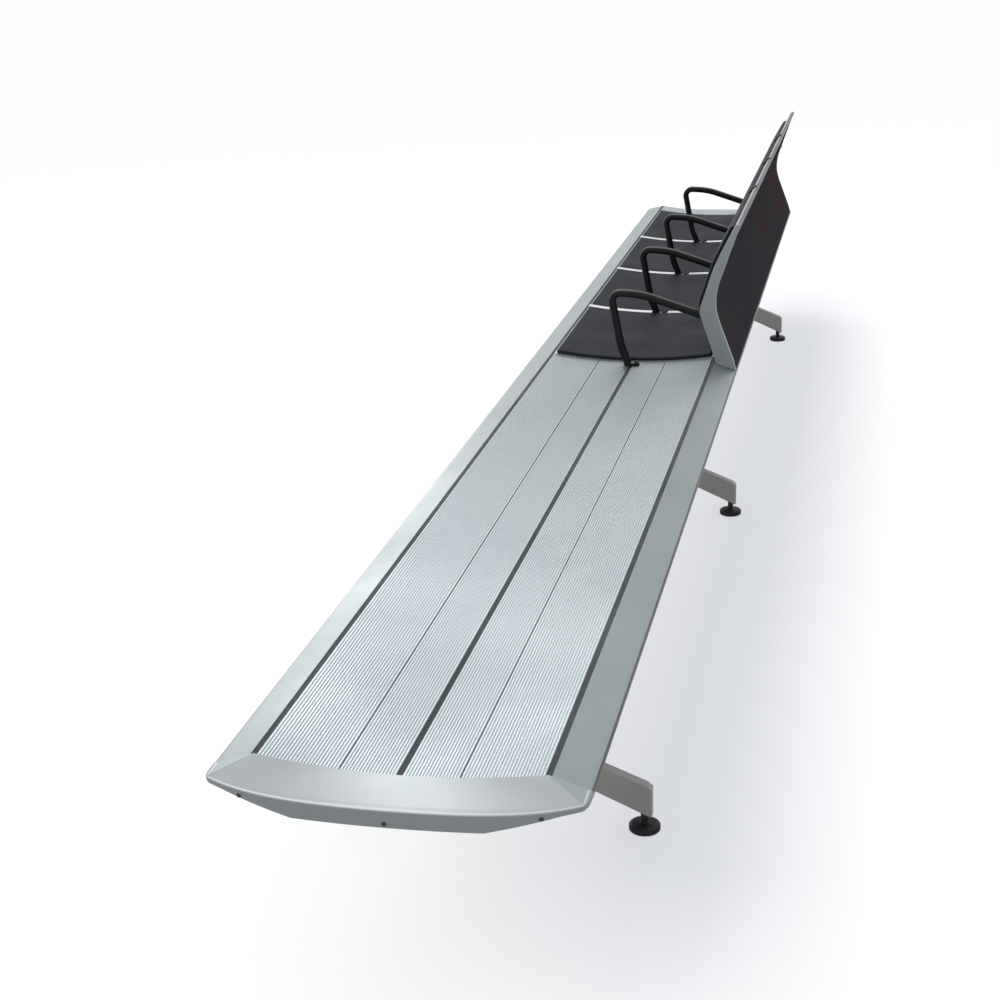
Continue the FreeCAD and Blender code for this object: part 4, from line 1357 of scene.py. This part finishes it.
@dataclass
class Armrests(SubAssembly):
    """Four loop armrests, each a flat bar that leans forwards, turns back and runs into the back."""

    places: tuple[float, ...] = (0.044, *BOUNDARY_X)
    width: float = 0.028
    thick: float = 0.019
    rounding: float = 0.006
    path: tuple[Point2, ...] = ((-0.0092, 0.4312), (-0.028, 0.480), (-0.057, 0.632),
                                (0.030, 0.628), (0.203, 0.571))
    bends: tuple[float, ...] = (0.0, 0.160, 0.024, 0.260, 0.0)
    base_z: float = 0.4257
    base_h: float = 0.007
    base_y: Point2 = (-0.020, 0.024)
    corner_steps: tuple[int, int, int] = (14, 5, 12)

    @staticmethod
    def filleted(graph: Graph, curve: Any, radius: Any, count: int, limited: bool) -> Any:
        """Rounds the corners of a curve node's line and returns it."""
        return graph.add("GeometryNodeFilletCurve", {
            "Curve": curve.outputs[0], "Count": count, "Radius": radius, "Limit Radius": limited},
            mode="POLY").outputs[0]

    def tree(self) -> bpy.types.NodeTree:
        """Armrest tree: a filleted path with a rounded flat section, and a rounded base under it."""
        graph, given, out = geometry_tree("armrest_loop", [
            ("Width", "NodeSocketFloat", self.width), ("Thickness", "NodeSocketFloat", self.thick),
            ("Rounding", "NodeSocketFloat", self.rounding),
            ("Base Length", "NodeSocketFloat", self.base_y[1] - self.base_y[0]),
            ("Base Height", "NodeSocketFloat", self.base_h), ("Base Place", "NodeSocketVector", (0, 0, 0))])
        g = given.outputs
        line = graph.add("GeometryNodeMeshToCurve", {"Mesh": g["Geometry"]})
        radius = graph.add("GeometryNodeInputNamedAttribute", {"Name": "bend"}, data_type="FLOAT")
        path_steps, section_steps, base_steps = self.corner_steps
        path = self.filleted(graph, line, radius.outputs[0], path_steps, False)
        turned = graph.add("GeometryNodeSetCurveNormal", {"Curve": path}, mode="FREE")
        turned.inputs["Normal"].default_value = (1.0, 0.0, 0.0)
        flat = graph.add("GeometryNodeCurvePrimitiveQuadrilateral", {
            "Width": g["Width"], "Height": g["Thickness"]})
        section = self.filleted(graph, flat, g["Rounding"], section_steps, True)
        bar = graph.add("GeometryNodeCurveToMesh", {
            "Curve": turned.outputs[0], "Profile Curve": section, "Fill Caps": True})
        foot = graph.add("GeometryNodeCurvePrimitiveQuadrilateral", {
            "Width": g["Width"], "Height": g["Base Length"]})
        stadium = self.filleted(graph, foot, graph.maths("MULTIPLY", g["Width"], 0.5), base_steps, True)
        rise = graph.add("GeometryNodeCurvePrimitiveLine", {
            "Start": (0.0, 0.0, 0.0), "End": graph.vector(z=g["Base Height"])})
        upright = graph.add("GeometryNodeSetCurveNormal", {"Curve": rise.outputs[0]}, mode="FREE")
        upright.inputs["Normal"].default_value = (1.0, 0.0, 0.0)
        block = graph.add("GeometryNodeCurveToMesh", {
            "Curve": upright.outputs[0], "Profile Curve": stadium, "Fill Caps": True})
        put = graph.add("GeometryNodeTransform", {"Geometry": block.outputs[0], "Translation": g["Base Place"]})
        return finish_tree(graph, given, out, graph.join(put.outputs[0], bar.outputs[0]))

    def build(self) -> None:
        """Grows the four armrests and dresses their screws."""
        tree = self.tree()
        material = self.finishes.of(Finishes.ARM)
        mid = (self.base_y[0] + self.base_y[1]) / 2
        for k, x in enumerate(self.places, 1):
            seed = chain_mesh("armrest_path", [(x, y, z) for y, z in self.path], "bend", self.bends)
            arm = grown(f"armrest_loop_{k}", tree, {
                "Width": self.width, "Thickness": self.thick, "Rounding": self.rounding,
                "Base Length": self.base_y[1] - self.base_y[0], "Base Height": self.base_h,
                "Base Place": (x, mid, self.base_z), "Material": material}, seed, 40.0)
            tidy_normals(arm)
            shade(arm.data, 40.0)
            settle(arm, FRAME_BODY, [f"armrest_{k}"])
        self.dress(["armrest_screws"], Finishes.BOLT)


@dataclass
class CastLegs(SubAssembly):
    """Three cast legs, each a column under the beam with two flat blades down to the feet."""

    places: tuple[float, ...] = LEG_X
    blade_thick: float = 0.024
    blade_height: float = 0.056
    slope: float = 0.40
    end_y: float = 0.301
    end_z: float = 0.033
    column: Point2 = (0.056, 0.084)
    saddle: tuple[float, float, float] = (0.160, 0.120, 0.010)
    beam_bottom: float = 0.324
    root: tuple[Point2, ...] = ((0.0, 0.038), (0.010, 0.014), (0.030, 0.003), (0.055, 0.0))
    shoulder: Point2 = (0.009, 0.008)
    toe: float = 0.004
    under_slope: float = 1.08
    under: tuple[tuple[float, float, float], ...] = ((0.190, 0.190, 0.0), (0.090, 0.090, 0.0),
                                                     (0.030, 0.060, 0.008))
    end_round: float = 0.0105
    column_low: float = 0.190
    column_into: float = 0.002
    column_round: float = 0.006
    saddle_round: float = 0.0025

    def outline(self) -> list[Point2]:
        """Outline of both blades in one."""
        e, s = self.end_y, self.slope
        end_top = self.end_z + self.blade_height
        c = self.column[1] / 2

        def top(y: float) -> float:
            return end_top + self.shoulder[1] + s * (e - self.shoulder[0] - y)

        def bottom(y: float) -> float:
            return self.end_z + s * self.under_slope * (e - y)

        sweep = flowing([(c, self.beam_bottom - self.saddle[2])]
                        + [(c + out, top(c + out) + up) for out, up in self.root], 4)
        near_end = e - self.shoulder[0]
        right = [*sweep, (near_end, top(near_end)), (e, end_top), (e, self.end_z), (e - self.toe, self.end_z)]
        right += [(y, bottom(at) + up) for y, at, up in self.under]
        return right + [(-y, z) for y, z in reversed(right)]

    def blade(self, x: float, material: bpy.types.Material) -> bpy.types.Object:
        """Both blades with rounded ends and bevelled edges.

        Args:
            x: Place along the bench.
            material: Its material.

        Returns:
            The object.
        """
        half = self.blade_thick / 2
        obj = extruded("blade", self.outline(), x - half, x + half, material, None)
        weights = obj.data.attributes.new("bevel_weight_edge", "FLOAT", "EDGE")
        values = []
        for edge in obj.data.edges:
            a, b = (obj.data.vertices[i].co for i in edge.vertices)
            across = abs(a.x - b.x) > 1e-6
            end = abs(abs(a.y) - self.end_y) < 1e-4 and abs(abs(b.y) - self.end_y) < 1e-4
            values.append(0.0 if across else (1.0 if end else 0.32))
        weights.data.foreach_set("value", values)
        bevel = obj.modifiers.new("rounded_ends", "BEVEL")
        bevel.width, bevel.segments, bevel.limit_method = self.end_round, 4, "WEIGHT"
        bevel.use_clamp_overlap = True
        baked(obj)
        weighted = obj.modifiers.new("even_shading", "WEIGHTED_NORMAL")
        weighted.keep_sharp = True
        shade(obj.data, 40.0)
        return baked(obj)

    def block(self, x: float, sizes: tuple[float, float], z0: float, z1: float, rounding: float,
              material: bpy.types.Material) -> bpy.types.Object:
        """Rounded block on the middle line of the bench."""
        a, b = sizes[0] / 2, sizes[1] / 2
        obj = extruded("block", [(-b, z0), (b, z0), (b, z1), (-b, z1)], x - a, x + a, material, None)
        return rounded_edges(obj, rounding, 3, 40.0)

    def build(self) -> None:
        """Makes the three legs and dresses the beam, the bearers and the bolts."""
        material = self.finishes.of(Finishes.LEG)
        low = self.beam_bottom - self.saddle[2]
        for k, x in enumerate(self.places, 1):
            parts = [self.blade(x, material),
                     self.block(x, self.column, self.column_low, low + self.column_into, self.column_round,
                                material),
                     self.block(x, self.saddle[:2], low, self.beam_bottom, self.saddle_round, material)]
            settle(joined(f"cast_leg_{k}", parts), FRAME_BODY, [f"leg_{k}"])
        self.dress(["main_beam"] + [f"cross_bearer_{k}" for k in range(1, 9)], Finishes.FRAME)
        self.dress(["leg_bolts", "bearer_bolts"], Finishes.BOLT)


@dataclass
class LevellingFeet(SubAssembly):
    """Six feet: a knurled round disc on a plain stem, each on its own body."""

    foot_y: float = 0.286
    disc_r: float = 0.030
    disc_h: float = 0.017
    stem_r: float = 0.0075
    stem_top: float = 0.084
    ridges: int = 44
    turns: int = 64
    ridge_r: float = 0.0015
    ridge_height: float = 0.010
    ridge_middle: float = 0.0078
    legs: tuple[float, ...] = LEG_X

    def tree(self) -> bpy.types.NodeTree:
        """Foot tree: the turned body that it is given, with a ring of ridges round the disc."""
        graph, given, out = geometry_tree("knurled_foot", [
            ("Disc Radius", "NodeSocketFloat", self.disc_r), ("Ridge Radius", "NodeSocketFloat", self.ridge_r),
            ("Ridge Height", "NodeSocketFloat", self.ridge_height),
            ("Ridge Middle", "NodeSocketFloat", self.ridge_middle),
            ("Ridges", "NodeSocketInt", self.ridges), ("Place", "NodeSocketVector", (0, 0, 0))])
        g = given.outputs
        radius = graph.maths("SUBTRACT", g["Disc Radius"], g["Ridge Radius"])
        ring = graph.add("GeometryNodeMeshCircle", {"Vertices": g["Ridges"], "Radius": radius})
        raised = graph.add("GeometryNodeTransform", {
            "Geometry": ring.outputs[0],
            "Translation": graph.vector(z=g["Ridge Middle"])})
        ridge = graph.add("GeometryNodeMeshCylinder", {"Vertices": 8, "Radius": g["Ridge Radius"],
                                                       "Depth": g["Ridge Height"]})
        spread = graph.add("GeometryNodeInstanceOnPoints", {"Points": raised.outputs[0],
                                                            "Instance": ridge.outputs[0]})
        whole = graph.join(spread.outputs[0], g["Geometry"])
        put = graph.add("GeometryNodeTransform", {"Geometry": whole, "Translation": g["Place"]})
        return finish_tree(graph, given, out, put.outputs[0])

    def body(self) -> bpy.types.Mesh:
        """Turned body of the foot: its half profile carried round the axis.

        Returns:
            The closed mesh, standing on the floor at the origin.
        """
        r, h, s = self.disc_r - 0.0012, self.disc_h, self.stem_r
        rows = [(r - 0.0035, 0.0), (r - 0.001, 0.0008), (r, 0.0026), (r, h - 0.0045),
                (r - 0.0008, h - 0.0026), (r - 0.0035, h - 0.0012), (r - 0.008, h - 0.0004), (s + 0.004, h),
                (s + 0.0012, h + 0.0006), (s, h + 0.002), (s, self.stem_top)]
        n = self.turns
        angles = [2 * math.pi * k / n for k in range(n)]
        points = [(a * math.cos(t), a * math.sin(t), z) for a, z in rows for t in angles]
        mesh = bpy.data.meshes.new("foot_body")
        mesh.from_pydata(points, [], solid_ring(len(rows), n))
        return mesh

    def build(self) -> None:
        """Grows the six feet, each on its own body."""
        tree = self.tree()
        material = self.finishes.of(Finishes.FOOT)
        for k, x in enumerate(self.legs, 1):
            for side, sign in (("front", -1.0), ("rear", 1.0)):
                node = f"foot_{side}_{k}"
                foot = grown("knurled_" + node, tree, {
                    "Disc Radius": self.disc_r, "Ridge Radius": self.ridge_r, "Ridge Height": self.ridge_height,
                    "Ridge Middle": self.ridge_middle, "Ridges": self.ridges,
                    "Place": (x, sign * self.foot_y, 0.0), "Material": material}, self.body(), 40.0)
                tidy_normals(foot)
                shade(foot.data, 40.0)
                settle(foot, node, [node])


@dataclass
class Studio:
    """Camera of the photograph, pale floor, and soft light."""

    place: tuple[float, float, float] = (4.83014, 0.68663, 1.67162)
    yaw: float = -0.221409
    pitch: float = 0.327332
    roll: float = -0.031209
    lens: float = 63.3917
    floor_shadow_colour: Colour = (0.60, 0.61, 0.64)
    world_colour: Colour = (0.93, 0.96, 1.0)
    world_light: float = 0.62
    floor_half: float = 40.0
    floor_white: Colour = (0.80, 0.80, 0.80)
    floor_glow: float = 1.77
    floor_seen: float = 0.55
    # edges of the painted shadow field on the floor
    fade_rear: Point2 = (-0.15, 0.30)
    fade_away: Point2 = (0.42, 0.72)
    fade_near: Point2 = (2.0, 2.7)
    fade_far: Point2 = (-3.3, -2.2)
    lamps: tuple[tuple[Any, ...], ...] = (
        ("far_overhead", (-3.6, -1.2, 4.2), (-0.8, 0.0, 0.4), 2.2, 60.0),
        ("front_far", (-5.5, -4.2, 1.6), (-0.6, -0.3, 0.4), 2.4, 40.0),
        ("near_overhead", (3.4, -1.8, 3.8), (1.4, 0.0, 0.4), 3.2, 22.0, (0.96, 0.98, 1.0)))

    def camera(self) -> None:
        """Adds the camera at the measured place and turn."""
        forward = Vector((-math.cos(self.pitch) * math.cos(self.yaw), math.cos(self.pitch) * math.sin(self.yaw),
                          -math.sin(self.pitch)))
        level = forward.cross(Vector((0.0, 0.0, 1.0))).normalized()
        up = level.cross(forward)
        c, s = math.cos(self.roll), math.sin(self.roll)
        right, top = level * c + up * s, up * c - level * s
        data = bpy.data.cameras.new("photo_camera")
        data.lens, data.sensor_width, data.sensor_fit = self.lens, 36.0, "HORIZONTAL"
        data.clip_start, data.clip_end = 0.05, 200.0
        cam = linked(bpy.data.objects.new("photo_camera", data))
        turn = Matrix((right, top, -forward)).transposed().to_4x4()
        cam.matrix_world = Matrix.Translation(self.place) @ turn
        bpy.context.scene.camera = cam

    @staticmethod
    def seen(graph: Graph) -> Any:
        """Factor that is 1 for camera, glossy and transmission rays."""
        path = graph.add("ShaderNodeLightPath")
        both = graph.maths("ADD", path.outputs["Is Camera Ray"], path.outputs["Is Glossy Ray"])
        return graph.maths("MINIMUM", graph.maths("ADD", both, path.outputs["Is Transmission Ray"]), 1.0)

    def world(self) -> None:
        """White where it is seen, and a plain soft level as light."""
        world = bpy.data.worlds.new("studio_world")
        graph = fresh_graph(world)
        soft = graph.add("ShaderNodeBackground", {"Color": rgba(self.world_colour),
                                                     "Strength": self.world_light})
        white = graph.add("ShaderNodeBackground", {"Color": (1.0, 1.0, 1.0, 1.0), "Strength": 1.0})
        mix = graph.add("ShaderNodeMixShader", {0: self.seen(graph), 1: soft.outputs[0], 2: white.outputs[0]})
        graph.add("ShaderNodeOutputWorld", {"Surface": mix.outputs[0]})
        bpy.context.scene.world = world

    def floor(self) -> None:
        """Adds the floor: white, with a painted blue-grey shadow on the rear side of the bench."""
        a = self.floor_half
        floor = new_piece("studio_floor", [(-a, -a, 0), (a, -a, 0), (a, a, 0), (-a, a, 0)],
                          [(0, 1, 2, 3)], self.floor_material(), None)

    def floor_material(self) -> bpy.types.Material:
        """Floor paint with a painted blue-grey shadow behind the bench that fades to white elsewhere."""
        made = bpy.data.materials.new("pale_floor")
        graph = fresh_graph(made)
        where = graph.add("ShaderNodeTexCoord").outputs["Object"]
        x, y, _ = graph.split(where)
        rear = graph.remap(y, *self.fade_rear, 0.0, 1.0)
        away = graph.remap(y, *self.fade_away, 1.0, 0.0)
        near = graph.remap(x, *self.fade_near, 1.0, 0.0)
        far = graph.remap(x, *self.fade_far, 0.0, 1.0)
        # share of the painted shadow at each point of the floor
        share = graph.maths("MULTIPLY", graph.maths("MULTIPLY", rear, away), graph.maths("MULTIPLY", near, far))
        colour = graph.blend(share, rgba(self.floor_white), rgba(self.floor_shadow_colour))
        paint = graph.add("ShaderNodeBsdfDiffuse", {"Color": colour})
        glow = graph.add("ShaderNodeEmission", {"Color": colour, "Strength": self.floor_glow})
        seen = graph.maths("MULTIPLY", self.seen(graph), self.floor_seen)
        mix = graph.add("ShaderNodeMixShader", {0: seen, 1: paint.outputs[0], 2: glow.outputs[0]})
        graph.add("ShaderNodeOutputMaterial", {"Surface": mix.outputs[0]})
        return made

    def lamp(self, name: str, place: tuple[float, float, float], aim: tuple[float, float, float], size: float,
             watts: float, colour: Colour = (1.0, 1.0, 1.0)) -> None:
        """Adds one square area lamp.

        Args:
            name: Its name.
            place: Where it hangs.
            aim: What it points at.
            size: Its side.
            watts: Its power.
            colour: Its colour.
        """
        data = bpy.data.lights.new(name, "AREA")
        data.shape, data.size, data.energy, data.color = "SQUARE", size, watts, colour
        obj = linked(bpy.data.objects.new(name, data))
        obj.location = place
        obj.rotation_mode = "QUATERNION"
        obj.rotation_quaternion = (Vector(aim) - Vector(place)).to_track_quat("-Z", "Y")

    def build(self) -> None:
        """Builds camera, world, floor and lamps."""
        self.camera()
        self.world()
        self.floor()
        for values in self.lamps:
            self.lamp(*values)
        view = bpy.context.scene.view_settings
        view.view_transform = "Standard"
        LOG.info("studio ready")


def main() -> None:
    """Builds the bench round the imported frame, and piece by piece."""
    logging.basicConfig(level=logging.INFO, format="%(name)s: %(message)s", stream=sys.stdout)
    for old in list(bpy.data.objects):
        bpy.data.objects.remove(old)
    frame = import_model()
    finishes = Finishes()
    Studio().build()
    for kind in (RibbedDeck, SideRails, EndCaps, BackShell, Upholstery, GapTrim, Armrests,
                 CastLegs, LevellingFeet):
        LOG.info("building %s", kind.__name__)
        kind(finishes, frame["nodes"]).build()


if __name__ == "__main__":
    main()
